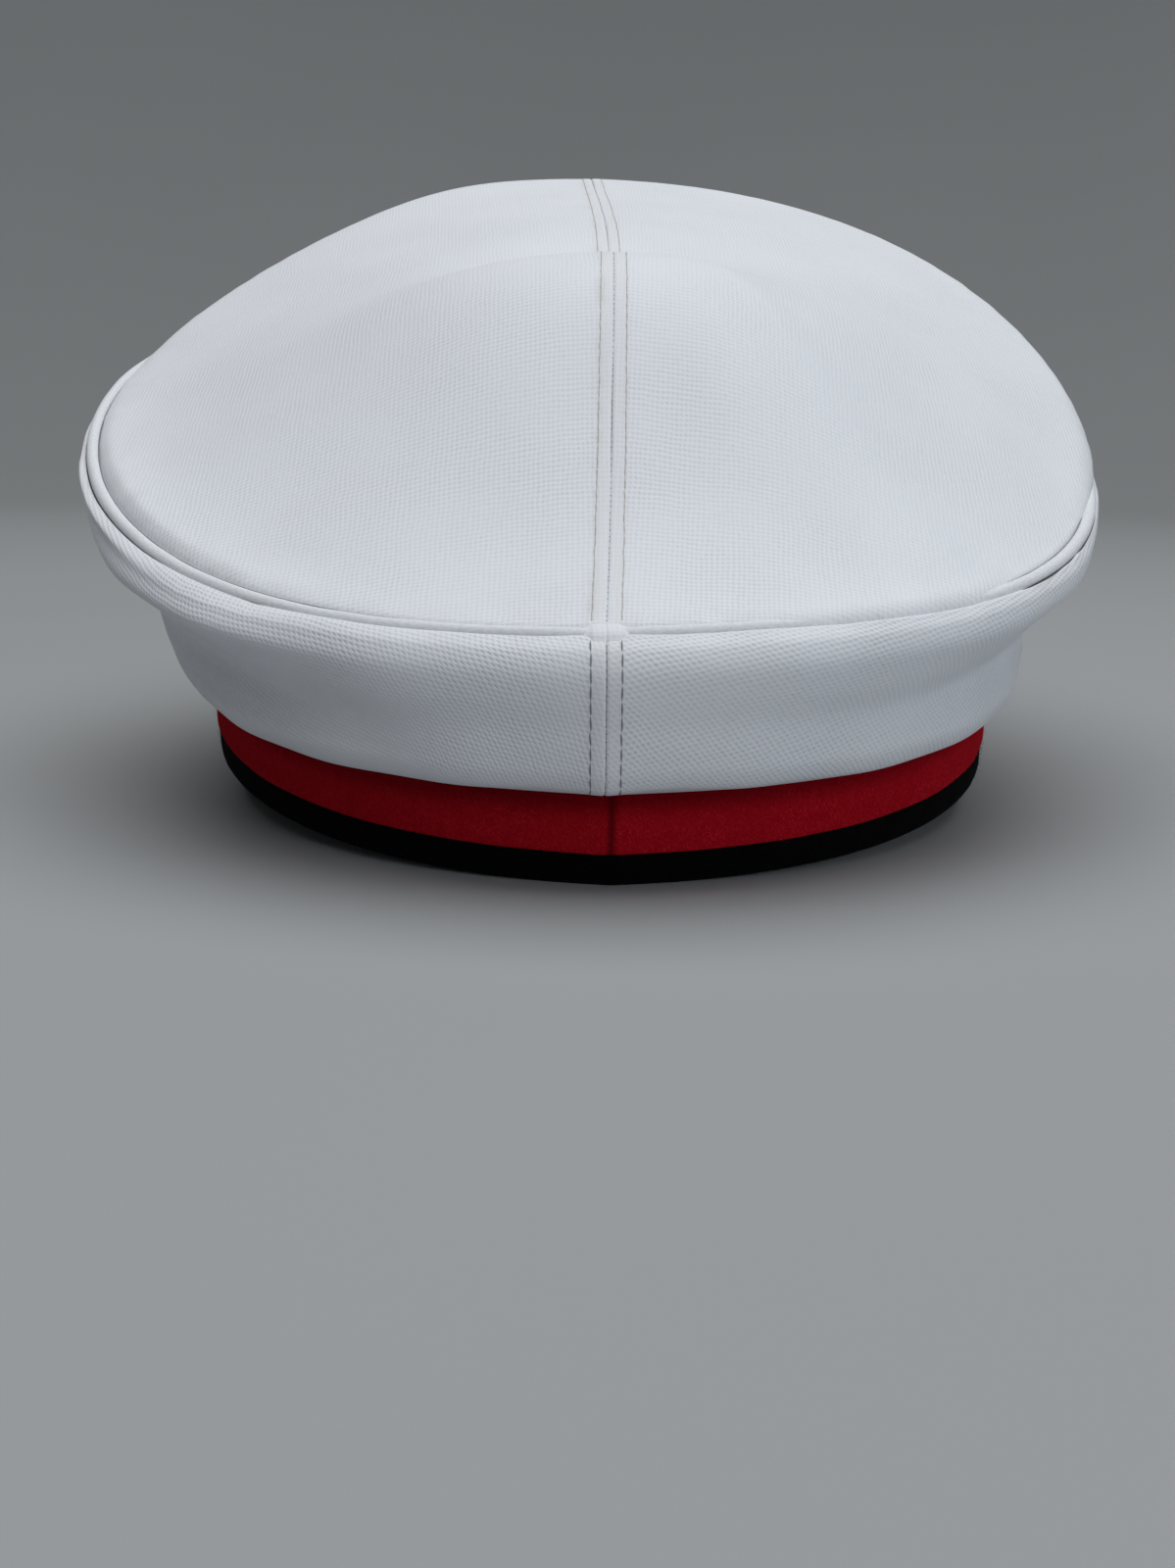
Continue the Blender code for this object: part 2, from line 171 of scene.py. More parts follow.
# Dark strands of painted shadow along the grooves beside the piping.
SHADOW_LINES = (
    ShadowLine("shadow_line_left_outer", (
        (6, 0.0, -8, 0.00004), (18, 0.00005, -8, 0.00012), (34, 0.0001, -10, 0.00020),
        (62, 0.0001, -18, 0.00022), (86, 0.00005, -22, 0.00014), (98, 0.0, -26, 0.00004))),
    ShadowLine("shadow_line_left_inner", (
        (14, 0.0, 116, 0.00003), (28, 0.00005, 120, 0.00011), (45, 0.00005, 127, 0.00012),
        (62, 0.00005, 138, 0.00012), (80, 0.00004, 155, 0.00012), (108, 0.00002, 160, 0.00005))),
    ShadowLine("shadow_line_right_outer", (
        (-66, 0.0, -14, 0.00004), (-54, 0.0001, -16, 0.00016), (-46, 0.00015, -14, 0.00018),
        (-38, 0.0003, -13, 0.00017), (-22, 0.00035, -12, 0.00013), (-9, 0.0001, -6, 0.00006))),
    ShadowLine("shadow_line_right_inner", (
        (-76, 0.00002, 152, 0.00004), (-62, 0.00005, 140, 0.00012), (-50, 0.00005, 131, 0.00012),
        (-38, 0.0, 122, 0.00003))),
)
RIM_SWELLS = (
    RimSwell("left_ridge", 0.0022, 56.0, 26.0, 0.0016, 0.008),
    RimSwell("front_fullness", 0.0030, 180.0, 62.0, 0.0036, 0.034),
    RimSwell("left_front_hump", 0.0034, 158.0, 17.0, 0.0070, 0.030),
)
TOP_SWELLS = (
    TopSwell("back_swell", 1.04, 0.40, 0.0, 0.28, 0.50),
    TopSwell("seam_dip", -0.45, 0.07, 0.0, 0.13, 0.20),
)


def bell(distance: Array, spread: float) -> Array:
    """Bell curve, 1 at no distance: e to the power of minus the squared distance in spreads."""
    return np.exp(-((distance / spread) ** 2))


def ramp(value: Array, low: float, high: float) -> Array:
    """Smooth step: 0 up to low, 1 from high, and 3 t squared less 2 t cubed between them.

    Args:
        value: values to grade.
        low: where the step starts; it may be above high, for a falling step.
        high: where the step ends.

    Returns:
        Values from 0 to 1.
    """
    part = np.clip((value - low) / (high - low), 0, 1)
    return part * part * (3 - 2 * part)


def graded(span: float, coarse: float, fine: float, zone: float, start: bool = True,
           end: bool = True) -> Array:
    """Places along a line, closer together towards its ends.

    The step is the coarse one, drawn towards the fine one by a bell of the distance to an end; the places are
    where the running sum of one over the step passes whole numbers.

    Args:
        span: length of the line.
        coarse: step in its middle.
        fine: step at its graded ends.
        zone: spread of the bell.
        start: whether the start is graded.
        end: whether the end is graded.

    Returns:
        Places from 0 to span.
    """
    place = np.linspace(0, span, 4001)
    near = np.maximum(bell(place, zone) * start, bell(span - place, zone) * end)
    density = 1 / (coarse + (fine - coarse) * near)
    count = np.concatenate([[0], np.cumsum((density[1:] + density[:-1]) / 2)]) * (place[1] - place[0])
    return np.interp(np.linspace(0, count[-1], math.ceil(count[-1]) + 1), count, place)


def run_length(points: Array, axis: int = 0) -> Array:
    """Length run along an axis of a grid of points, from 0 at its start: the running sum of the steps."""
    steps = np.linalg.norm(np.diff(points, axis=axis), axis=-1)
    start = np.zeros_like(np.take(steps, [0], axis=axis))
    return np.concatenate([start, np.cumsum(steps, axis=axis)], axis=axis)


def read_along(values: Array, run: Array, place: Array) -> Array:
    """Points or directions of a line read at places along it, evenly between those that are given."""
    return np.stack([np.interp(place, run, part) for part in values.T], axis=-1)


def apart(angle: Array, middle: float = 0.0) -> Array:
    """Degrees from a middle angle, in degrees, to angles in radians: between minus and plus half a turn."""
    return (np.degrees(angle) - middle + 180) % 360 - 180


def full_turn(count: int) -> Array:
    """Angles of a full turn, without its end."""
    return np.linspace(0, 2 * math.pi, count, endpoint=False)


def bell_at(angle: Array, middle: float, spread: float) -> Array:
    """Bell curve round the cap; its middle and spread are in degrees."""
    return bell(apart(angle, middle), spread)


def quarters(angle: Array, back: float, left: float, right: float, front: float) -> Array:
    """Blend of four values round the cap, by the squared cosine for the ends and the squared sine for the
    flanks."""
    ends, flanks = np.where(np.cos(angle) > 0, back, front), np.where(np.sin(angle) > 0, left, right)
    return np.cos(angle) ** 2 * ends + np.sin(angle) ** 2 * flanks


def unit(vectors: Array) -> Array:
    """Vectors scaled to length 1."""
    return vectors / np.maximum(np.linalg.norm(vectors, axis=-1, keepdims=True), 1e-12)


def grid_normals(points: Array) -> Array:
    """Normals of a grid of points: the cross product of its steps down the rows and along them."""
    return unit(np.cross(np.gradient(points, axis=0), np.gradient(points, axis=1)))


def upward_normals(points: Array) -> Array:
    """Normals of a grid of points, each turned to point up."""
    normals = grid_normals(points)
    return normals * np.sign(normals[..., 2:])


def outward_normals(points: Array) -> Array:
    """Normals of a grid of points, turned all together so that most point away from the cap's axis."""
    normals = grid_normals(points)
    return normals * np.sign(np.einsum("ijk,ijk->", normals[..., :2], points[..., :2]))


def smooth_rows(rows: Array, places: Array) -> Array:
    """Points of a Catmull-Rom curve through rows of points.

    Between two rows the curve is the cubic whose slope at each row is half the step between its neighbours.

    Args:
        rows: array of rows, each an array of points.
        places: places along the curve, a whole number at each row.

    Returns:
        One row of points for each place.
    """
    rows = np.concatenate([2 * rows[:1] - rows[1:2], rows, 2 * rows[-1:] - rows[-2:-1]])
    first = np.minimum(places.astype(int), len(rows) - 4)
    part = (places - first)[:, None, None]
    before, start, end, after = (rows[first + step] for step in range(4))
    return (start + 0.5 * part * (end - before)
            + part**2 * (before - 2.5 * start + 2 * end - 0.5 * after)
            + part**3 * (1.5 * (start - end) + 0.5 * (after - before)))


@dataclass(frozen=True)
class Ripple:
    """Soft unevenness of cloth: a sum of cosine waves in seeded directions, of lengths near one length."""

    length: float
    height: float
    seed: int
    waves: int = 9
    shortest: float = 0.65
    spread: float = 0.70

    def at(self, first: Array, second: Array) -> Array:
        """Height of the ripple at places on the cloth.

        Args:
            first: places along one way of the cloth, in metres.
            second: places along the other way.

        Returns:
            Heights in metres, about as much above as below zero.
        """
        total = np.zeros(np.broadcast(first, second).shape)
        for turn, phase, size in np.random.default_rng(self.seed).uniform(0, 1, (self.waves, 3)):
            wave = 2 * math.pi / (self.length * (self.shortest + self.spread * size))
            turn *= 2 * math.pi
            total += np.cos(wave * (first * math.cos(turn) + second * math.sin(turn)) + 2 * math.pi * phase)
        return self.height * total / math.sqrt(self.waves)


@dataclass(frozen=True)
class CapForm:
    """Sizes that more than one piece follows, and the lines and surfaces worked out from them.

    Lengths are in metres and angles in degrees. A span is a bell's middle and spread, or a ramp's two ends.
    """

    band_half_length: float = 0.104
    band_half_width: float = 0.087
    band_height: float = 0.040
    band_keel: float = 0.0027
    band_keel_spread: float = 0.020
    band_fullness: float = 0.0014
    band_lopside: float = 0.4
    cloth_wall: float = 0.0015
    piping_radius: float = 0.0013
    gap: float = 0.0003
    rim_out_back: float = 0.009
    rim_out_side: float = 0.021
    rim_out_front: float = 0.0165
    rim_shift: float = 0.0017
    rim_squareness: float = 0.0215
    rim_rise_back: float = 0.008
    rim_rise_side: float = 0.031
    rim_rise_front: float = 0.077
    rim_sway: float = 0.0012
    top_puff: float = 0.022
    top_puff_power: float = 1.3
    top_edge_lift: float = 0.0011
    roll_drop: float = 0.0030
    roll_out: float = 0.0012
    roll_out_right: float = 0.0010
    roll_out_right_span: Span = (-102.0, 24.0)
    roll_from_left: float = 92.0
    roll_from_right: float = 58.0
    roll_ease: float = 24.0
    edge_tuck: float = 0.8
    flush_out: float = 0.0016
    flush_from: Span = (-7.0, -19.0)
    flush_to: Span = (-44.0, -34.0)
    right_draw: float = 0.0011
    right_draw_span: Span = (-72.0, 15.0)
    tuck_lift: tuple[float, float, float, float] = (0.15, -0.45, -0.5, -0.3)
    lip_out: float = 0.00138
    lip_out_corner: float = 0.0004
    brow_out: float = 0.0024
    brow_down: float = 0.0004
    brow_out_left: float = 0.0013
    brow_down_left: float = 0.0004
    brow_draw: float = 0.0006
    brow_draw_left: Span = (68.0, 88.0)
    brow_draw_right: Span = (36.0, 60.0)
    hollow_span: Span = (41.0, 15.0)
    seam_bow: float = 0.0027
    back_seam_sway: float = 0.0015
    reveal_back: float = 0.0194
    reveal_seam: float = 0.0008
    reveal_front: float = 0.034
    roll_depth: float = 0.010
    turn_in_rise: float = 0.0022
    turn_in_dip: float = 0.0006
    peak_reach: float = 0.043
    peak_drop: float = 0.030
    stand_shift: tuple[float, float, float] = (-0.002554, 0.015302, 0.01239)

    @property
    def rim_centre_y(self) -> float:
        """Y of the rim's middle."""
        return (self.rim_out_back - self.rim_out_front) / 2

    @property
    def rim_half_length(self) -> float:
        """Half of the rim's length along Y."""
        return self.band_half_length + (self.rim_out_back + self.rim_out_front) / 2

    @property
    def rim_half_width(self) -> float:
        """Half of the rim's width along X."""
        return self.band_half_width + self.rim_out_side

    @property
    def rest_slope(self) -> float:
        """Slope of the table below the band's lower edge."""
        return self.peak_drop / (2 * self.band_half_length + self.peak_reach)

    def stand(self, points: Array, turn_only: bool = False) -> Array:
        """Points or directions as the cap stands on a table: turned by the table's slope, then shifted.

        Args:
            points: points or directions in the cap's own frame.
            turn_only: whether they are directions, which only turn.

        Returns:
            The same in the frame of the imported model.
        """
        lean = -math.atan(self.rest_slope)
        cosine, sine = math.cos(lean), math.sin(lean)
        turn = np.array([[1, 0, 0], [0, cosine, -sine], [0, sine, cosine]])
        return points @ turn.T + (0 if turn_only else np.array(self.stand_shift))

    def band_line(self, angle: Array, out: Array | float = 0.0) -> Pair:
        """The band's face in plan: an ellipse moved out along its normal.

        It is a little fuller between its ends and sides, by the squared sine of twice the angle and more so on
        the wearer's right, and it has a soft keel at the back seam.

        Args:
            angle: angles round the cap.
            out: how far outside the face, in metres.

        Returns:
            Plan points, and the outward directions there.
        """
        sine, cosine = np.sin(angle), np.cos(angle)
        normal = unit(np.stack([sine / self.band_half_width, cosine / self.band_half_length], axis=-1))
        across = np.abs(self.band_half_width * sine)
        keel = self.band_keel * np.exp(-across / self.band_keel_spread) * (cosine > 0)
        fullness = self.band_fullness * (2 * sine * cosine) ** 2 * (1 - self.band_lopside * sine)
        oval = np.stack([self.band_half_width * sine, self.band_half_length * cosine], axis=-1)
        return oval + normal * (keel + fullness + out)[..., None], normal

    def rim_plan(self, angle: Array) -> Array:
        """The rim in plan: an oval, squared a little by a third-order sine and drawn in on the right."""
        width = self.rim_half_width / (1 - self.rim_squareness)
        x = self.rim_shift + width * (np.sin(angle) + self.rim_squareness * np.sin(3 * angle))
        x += self.right_draw * bell_at(angle, *self.right_draw_span)
        return np.stack([x, self.rim_centre_y + self.rim_half_length * np.cos(angle)], axis=-1)

    def rim_span(self, share: Array | float, angle: Array) -> Array:
        """Height of the smooth surface that the rim spans: a level, a slope and a saddle, and small waves."""
        mean = (self.rim_rise_back + self.rim_rise_front) / 4 + self.rim_rise_side / 2
        slope = (self.rim_rise_back - self.rim_rise_front) / 2
        saddle = (self.rim_rise_back + self.rim_rise_front) / 4 - self.rim_rise_side / 2
        height = self.band_height + mean + slope * share * np.cos(angle)
        height += saddle * share**2 * np.cos(2 * angle)
        for wave in RIM_WAVES:
            turn = wave.order * angle
            sway = wave.level * np.cos(turn) + wave.tilt * np.sin(turn)
            height += self.rim_sway * share**wave.order * sway
        for droop in RIM_DROOPS:
            height -= droop.depth * share**4 * bell_at(angle, droop.angle, droop.spread)
        return height

    def roll(self, angle: Array) -> Array:
        """How far the top's edge rolls down over the piping: not at the back, fully round the front."""
        start = np.where(np.sin(angle) > 0, self.roll_from_left, self.roll_from_right)
        return ramp(np.abs(apart(angle)), start, start + self.roll_ease)

    def flush(self, angle: Array) -> Array:
        """How far the top's edge lies flush over the piping: along the back right only."""
        return ramp(apart(angle), *self.flush_from) * ramp(apart(angle), *self.flush_to)

    def piping_height(self, angle: Array) -> Array:
        """Height of the piping's centre line, which the front of the top rolls over."""
        return self.rim_span(1.0, angle) - self.roll_drop * self.roll(angle)

    def rim_line(self, angle: Array) -> Array:
        """Centre line of the piping."""
        return np.column_stack([self.rim_plan(angle), self.piping_height(angle)])

    @property
    def rim_middle(self) -> Array:
        """The rim's middle in plan."""
        return np.array([self.rim_shift, self.rim_centre_y])

    def top_edge(self, angle: Array) -> Array:
        """Outer edge of the crown's top in plan, from the rim's middle.

        It is drawn in to the piping's inner flank, but out over the piping where the top lies flush or rolls.
        """
        outwards = self.rim_plan(angle) - self.rim_middle
        roll, flush = self.roll(angle), self.flush(angle)
        out = self.roll_out + self.roll_out_right * bell_at(angle, *self.roll_out_right_span)
        tucked = self.edge_tuck * self.piping_radius * (1 - flush) - self.flush_out * flush
        inset = (tucked * (1 - roll) - out * roll)[..., None]
        return outwards * (1 - inset / np.linalg.norm(outwards, axis=-1, keepdims=True))

    def top_polar(self, plan: Array) -> Pair:
        """Share of the way out to the top's edge and angle of plan points.

        A plan point is the middle, plus the share of the edge, plus a bow that fades to the edge. The bow is
        taken off with the last share, three times over, and the angle is read off the edge's bearings.

        Args:
            plan: plan points on the crown's top.

        Returns:
            Shares, and angles from minus half a turn to half a turn.
        """
        table = np.linspace(-math.pi, math.pi, 2881)
        edge = self.top_edge(table)
        bearing = np.unwrap(np.arctan2(edge[:, 0], edge[:, 1]))
        reach = np.linalg.norm(edge, axis=1)
        share = np.ones(plan.shape[:-1])
        for _ in range(3):
            way = plan - self.rim_middle - np.array([-self.seam_bow, 0.0]) * (1 - share**2)[..., None]
            angle = np.interp(np.arctan2(way[..., 0], way[..., 1]), bearing, table)
            share = np.linalg.norm(way, axis=-1) / np.interp(angle, table, reach)
        return share, angle

    def top_height(self, share: Array, angle: Array, plan: Array) -> Array:
        """Height of the top's outer face: the rim's span, puffed up, with its swells and dips."""
        dome = np.clip(1 - share**2, 0, 1) ** self.top_puff_power
        along = (plan[..., 1] - self.rim_centre_y) / self.rim_half_length
        across = (plan[..., 0] - self.rim_shift) / self.rim_half_width
        puff = np.ones_like(along)
        for swell in TOP_SWELLS:
            ahead = (along - swell.along) / swell.spread_along
            aside = (across - swell.across) / swell.spread_across
            puff += swell.height * np.exp(-(ahead**2 + aside**2) / 2)
        return self.rim_span(share, angle) + self.top_puff * dome * puff + self.top_edge_lift

    def seam_x(self, y: Array) -> Array:
        """X of the crown's centre seam: it bows to the wearer's right in its middle."""
        share = np.clip((y - self.rim_centre_y) / self.rim_half_length, -1, 1)
        return self.rim_shift - self.seam_bow * (1 - share**2)

    def fold_height(self, angle: Array) -> Array:
        """Height of the side panel's lower edge: nearly level round the back, rising to the front, and drawn
        up a little at the back seam by the twelfth power of the cosine."""
        forward = (1 - np.cos(angle)) / 2
        seam = self.reveal_seam * np.maximum(np.cos(angle), 0) ** 12
        return self.reveal_back + (self.reveal_front - self.reveal_back) * forward**2 + seam

    def side_rows(self, angle: Array) -> Array:
        """Rows that the side panel's outer face passes through, from its edge tucked on the band up to the lip.

        Each row of the table stands out from the band's face by its share of the rim's overhang and, besides,
        along the face's normal by its shares of the roll's depth. The left hollow is a bell of the angle, and
        the right one the squared sine of twice the angle. Last come the brow and the lip, which lie round the
        piping's outer flank, higher at the back than at the sides.

        Args:
            angle: angles round the cap.

        Returns:
            Array of rows, each an array of points.
        """
        sine, cosine = np.sin(angle), np.cos(angle)
        face, normal = self.band_line(angle)
        overhang = self.rim_plan(angle) - face
        fold = self.fold_height(angle)
        rim = self.piping_height(angle) + self.piping_radius * quarters(angle, *self.tuck_lift)
        corner = 4 * cosine**2 * sine**2 * (cosine > 0)
        left, right = corner * (sine > 0), corner * (sine <= 0)
        hollow = bell_at(angle, *self.hollow_span)
        sway = self.back_seam_sway * np.maximum(cosine, 0) ** 6
        rows = []
        for row in SIDE_ROWS:
            roll = quarters(angle, row.back, row.left, row.right, row.front)
            roll += hollow * row.left_corner + right * row.right_corner
            plan = face + overhang * row.lean + normal * (self.roll_depth * roll)[:, None]
            plan[:, 0] += sway * (1 - row.lean)
            rows.append(np.column_stack([plan, fold + (rim - fold) * row.up]))
        away = np.abs(apart(angle))
        drawn = np.where(sine > 0, ramp(away, *self.brow_draw_left), ramp(away, *self.brow_draw_right))
        brow = self.brow_out + self.brow_out_left * left - self.brow_draw * drawn
        lip = self.lip_out + self.lip_out_corner * corner - self.brow_draw * drawn
        for out, down in ((brow, self.brow_down + self.brow_down_left * left), (lip, 0.0)):
            rows.append(np.column_stack([face + overhang + normal * out[:, None], rim - down]))
        seat = np.column_stack([face + normal * self.gap, fold + self.turn_in_rise])
        under = np.column_stack([(face + normal * self.gap + rows[0][:, :2]) / 2, fold - self.turn_in_dip])
        return np.array([seat, under, *rows])


FORM = CapForm()


def outward(points: Array, faces: Sequence[Array]) -> bool:
    """Whether faces enclose their points the right way round: their signed volume, the sum of the triple
    products of each corner fan, is positive."""
    volume = 0.0
    for face in faces:
        corner = points[face]
        for step in range(1, face.shape[1] - 1):
            volume += np.einsum("ij,ij->", corner[:, 0], np.cross(corner[:, step], corner[:, step + 1]))
    return volume > 0


def grid_faces(rows: int, columns: int, wrap_rows: bool = False, wrap_columns: bool = False) -> Array:
    """Vertex numbers of the quads of a grid, row by row; a wrapped way joins its end to its start."""
    index = np.arange(rows * columns).reshape(rows, columns)
    if wrap_rows:
        index = np.vstack([index, index[:1]])
    if wrap_columns:
        index = np.hstack([index, index[:, :1]])
    return np.stack([index[:-1, :-1], index[:-1, 1:], index[1:, 1:], index[1:, :-1]], axis=-1).reshape(-1, 4)


@dataclass
class Piece:
    """One closed piece as it is made: its points in the cap's frame, faces, cloth places and marks."""

    name: str
    points: Array
    faces: list[Array]
    cloth: list[Array] | None = None
    marks: Marks | None = None
    finishes: list[Array] | None = None
    sharp: float = 50.0

    def show(self, materials: Sequence[Material], slot: Slot, *nodes: str) -> None:
        """Put the piece in the scene, riding on the cap's one body.

        Args:
            materials: one material, or two where the piece's second faces have their own.
            slot: the record's slot of the piece's finish; it is not used.
            nodes: solids that the piece stands for.
        """
        points = FORM.stand(self.points)
        faces, cloth = self.faces, self.cloth
        if not outward(points, faces):
            faces = [face[:, ::-1] for face in faces]
            cloth = cloth and [place[:, ::-1] for place in cloth]
        corners = np.concatenate([face.ravel() for face in faces])
        sizes = np.concatenate([np.full(len(face), face.shape[1]) for face in faces])
        mesh = bpy.data.meshes.new(self.name)
        mesh.vertices.add(len(points))
        mesh.vertices.foreach_set("co", points.astype(np.float32).ravel())
        mesh.loops.add(len(corners))
        mesh.loops.foreach_set("vertex_index", corners.astype(np.int32))
        mesh.polygons.add(len(sizes))
        mesh.polygons.foreach_set("loop_start", (np.cumsum(sizes) - sizes).astype(np.int32))
        if self.finishes is not None:
            mesh.polygons.foreach_set("material_index", np.concatenate(self.finishes).astype(np.int32))
        if cloth is not None:
            places = np.concatenate([place.reshape(-1, 2) for place in cloth])
            mesh.uv_layers.new(name="cloth").uv.foreach_set("vector", places.astype(np.float32).ravel())
        mesh.update(calc_edges=True)
        mesh.validate()
        for mark, values in (self.marks or {}).items():
            data = mesh.attributes.new(mark, "FLOAT", "POINT").data
            data.foreach_set("value", values.astype(np.float32).ravel())
        mesh.shade_smooth()
        mesh.set_sharp_from_angle(angle=math.radians(self.sharp))
        for material in materials:
            mesh.materials.append(material)
        item = bpy.data.objects.new(self.name, mesh)
        bpy.context.scene.collection.objects.link(item)
        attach(item, "root")
        if nodes:
            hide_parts(*nodes)
        LOG.info("%s: %d triangles", self.name, int((sizes - 2).sum()))


def shell(name: str, outer: Array, wall: float | Array, cloth: Array, marks: Marks) -> Piece:
    """A cloth panel as a closed shell: its outer grid, the same one wall further in, and a strip between them.

    Args:
        name: the piece's name.
        outer: grid of points of the outer face.
        wall: thickness of the cloth, one for all or one at each point.
        cloth: place of each point on the flat cloth, in metres.
        marks: values at each point that the material reads.

    Returns:
        The panel; its inner faces and edges have the second finish.
    """
    rows, columns = outer.shape[:2]
    normal = grid_normals(outer)
    middle = np.array([*FORM.rim_middle, FORM.reveal_back])
    if np.einsum("ijk,ijk->", normal, outer - middle) < 0:
        normal = -normal
    inner = outer - normal * wall
    skin = grid_faces(rows, columns)
    count = rows * columns
    index = np.arange(count).reshape(rows, columns)
    border = np.concatenate([index[0, :-1], index[:-1, -1], index[-1, :0:-1], index[:0:-1, 0]])
    after = np.roll(border, -1)
    rim = np.column_stack([border, border + count, after + count, after])
    faces = [skin, skin[:, ::-1] + count, rim]
    places = np.tile(cloth.reshape(-1, 2), (2, 1))
    return Piece(
        name=name,
        points=np.concatenate([outer.reshape(-1, 3), inner.reshape(-1, 3)]),
        faces=faces,
        cloth=[places[face] for face in faces],
        marks={mark: np.tile(values.ravel(), 2) for mark, values in marks.items()},
        finishes=[np.full(len(face), int(part > 0)) for part, face in enumerate(faces)],
    )


def swept(name: str, sections: Array, ring: bool = False, marks: Marks | None = None) -> Piece:
    """A closed profile carried along a path, joined into a ring or closed by a fan at both ends.

    Args:
        name: the piece's name.
        sections: array of sections along the path, each the profile's points in order.
        ring: whether the last section joins the first.
        marks: values at each point that the material reads.

    Returns:
        The piece; its cloth places are the run along the path and round the profile, in metres.
    """
    count, sides = sections.shape[:2]
    faces = [grid_faces(count, sides, wrap_rows=ring, wrap_columns=True)]
    looped = np.concatenate([sections, sections[:1]]) if ring else sections
    along = run_length(looped).mean(axis=1)
    around = run_length(np.concatenate([sections, sections[:, :1]], axis=1), axis=1).mean(axis=0)
    place = np.stack(np.meshgrid(along, around, indexing="ij"), axis=-1)
    corners = [place[:-1, :-1], place[:-1, 1:], place[1:, 1:], place[1:, :-1]]
    cloth = [np.stack(corners, axis=2).reshape(-1, 4, 2)]
    points = sections.reshape(-1, 3)
    if not ring:
        ends = sections[[0, -1]].mean(axis=1)
        first = np.arange(sides)
        last = first + (count - 1) * sides
        tip = count * sides
        points = np.concatenate([points, ends])
        faces.append(np.column_stack([np.roll(first, -1), first, np.full(sides, tip)]))
        faces.append(np.column_stack([last, np.roll(last, -1), np.full(sides, tip + 1)]))
        cloth += [np.zeros((sides, 3, 2)), np.zeros((sides, 3, 2))]
        marks = {mark: np.append(values.ravel(), [0.0, 0.0]) for mark, values in (marks or {}).items()}
    return Piece(name, points, faces, cloth, marks)


def strands(name: str, centres: Array, radii: Array, sides: int) -> Piece:
    """Many like strands of thread or fibre in one piece.

    A strand is a round profile carried along its own line of centres. Its frame comes from the line's direction
    and one fixed slanting direction, and its two ends are closed by flat faces.

    Args:
        name: the piece's name.
        centres: array of strands, each an array of centres.
        radii: radius at each centre, for all strands or for each.
        sides: sides of the round profile.

    Returns:
        The strands as one piece.
    """
    count, steps = centres.shape[:2]
    along = unit(np.gradient(centres, axis=1))
    across = unit(np.cross(along, np.array([0.36, 0.48, 0.80])))
    over = np.cross(along, across)
    turn = np.arange(sides) * 2 * math.pi / sides
    radii = np.broadcast_to(radii, (count, steps))[..., None, None]
    ring = across[..., None, :] * np.cos(turn)[:, None] + over[..., None, :] * np.sin(turn)[:, None]
    points = centres[..., None, :] + radii * ring
    start = (np.arange(count) * steps * sides)[:, None, None]
    tube = (grid_faces(steps, sides, wrap_columns=True)[None] + start).reshape(-1, 4)
    first = np.arange(sides)[None] + start[..., 0]
    faces = [tube, first[:, ::-1], first + (steps - 1) * sides]
    return Piece(name, points.reshape(-1, 3), faces, sharp=80.0)


@dataclass(frozen=True)
class SeamMake:
    """How a topstitched seam lies: two turned edges meet in a crease, pressed flat and sewn down both sides."""

    row_out: float = 0.0025
    pitch: float = 0.0027
    pad: float = 0.00006
    pad_edge: Span = (0.0008, -0.0005)
    pressed_edge: Span = (0.0005, -0.0001)
    crease: float = 0.00030
    crease_spread: float = 0.00018
    groove: float = 0.00010
    groove_spread: float = 0.00026
    between_holes: float = 0.30

    def relief(self, across: Array, along: Array) -> Array:
        """Height of the seam above the plain cloth.

        It is a low pad, less a sharp crease at the join and a groove under each row of stitches, which a cosine
        wave makes deeper at each needle hole.

        Args:
            across: distances from the join.
            along: run along the seam.

        Returns:
            Heights in metres.
        """
        beside = across - self.row_out
        hole = 1 - self.between_holes * (1 - np.cos(2 * math.pi * along / self.pitch))
        return (self.pad * ramp(beside, *self.pad_edge) - self.crease * np.exp(-across / self.crease_spread)
                - self.groove * bell(beside, self.groove_spread) * hole)

    def pressed(self, across: Array) -> Array:
        """How far the weave is pressed flat: wholly between the stitch rows, not at all past them."""
        return ramp(across - self.row_out, *self.pressed_edge)


SEAM = SeamMake()


@dataclass
class Surface:
    """A panel's outer grid as laid, with its normals, and its run across and along from the seam."""

    points: Array
    normals: Array
    across: Array
    along: Array

    def line(self, out: float, from_end: bool = False) -> Pair:
        """A line on the surface at a distance from the seam: each row of the grid read at that distance.

        Args:
            out: distance from the seam that the columns start from, or end at.
            from_end: whether the seam is at the last column.

        Returns:
            Points and normals along the line.
        """
        step = -1 if from_end else 1
        across = (self.across[:, -1:] - self.across if from_end else self.across)[:, ::step]
        both = np.concatenate([self.points, self.normals], axis=-1)[:, ::step]
        row = np.arange(len(across))
        before = np.clip((across <= out).sum(axis=1) - 1, 0, across.shape[1] - 2)
        part = (out - across[row, before]) / (across[row, before + 1] - across[row, before])
        part = np.clip(part, 0, 1)[:, None]
        read = both[row, before] * (1 - part) + both[row, before + 1] * part
        return read[:, :3], unit(read[:, 3:])


class CrownPart:
    """The top or the side of the crown, made as a left and a right half."""

    part: str
    slot: Slot

    def wall(self, surface: Surface) -> float | Array:
        """Thickness of the cloth."""
        return FORM.cloth_wall

    def build(self, side: Side, cloth_finish: Material, backing: Material) -> Surface:
        """Make one half.

        Args:
            side: which half.
            cloth_finish: material of its face.
            backing: material of its inner side and edges.

        Returns:
            The surface, for what is sewn on it.
        """
        surface, cloth, marks = self.surface(side)
        piece = shell(f"crown_{self.part}_{side.word}", surface.points, self.wall(surface), cloth, marks)
        piece.show([cloth_finish, backing], self.slot, f"{self.part}_{side.word}")
        return surface


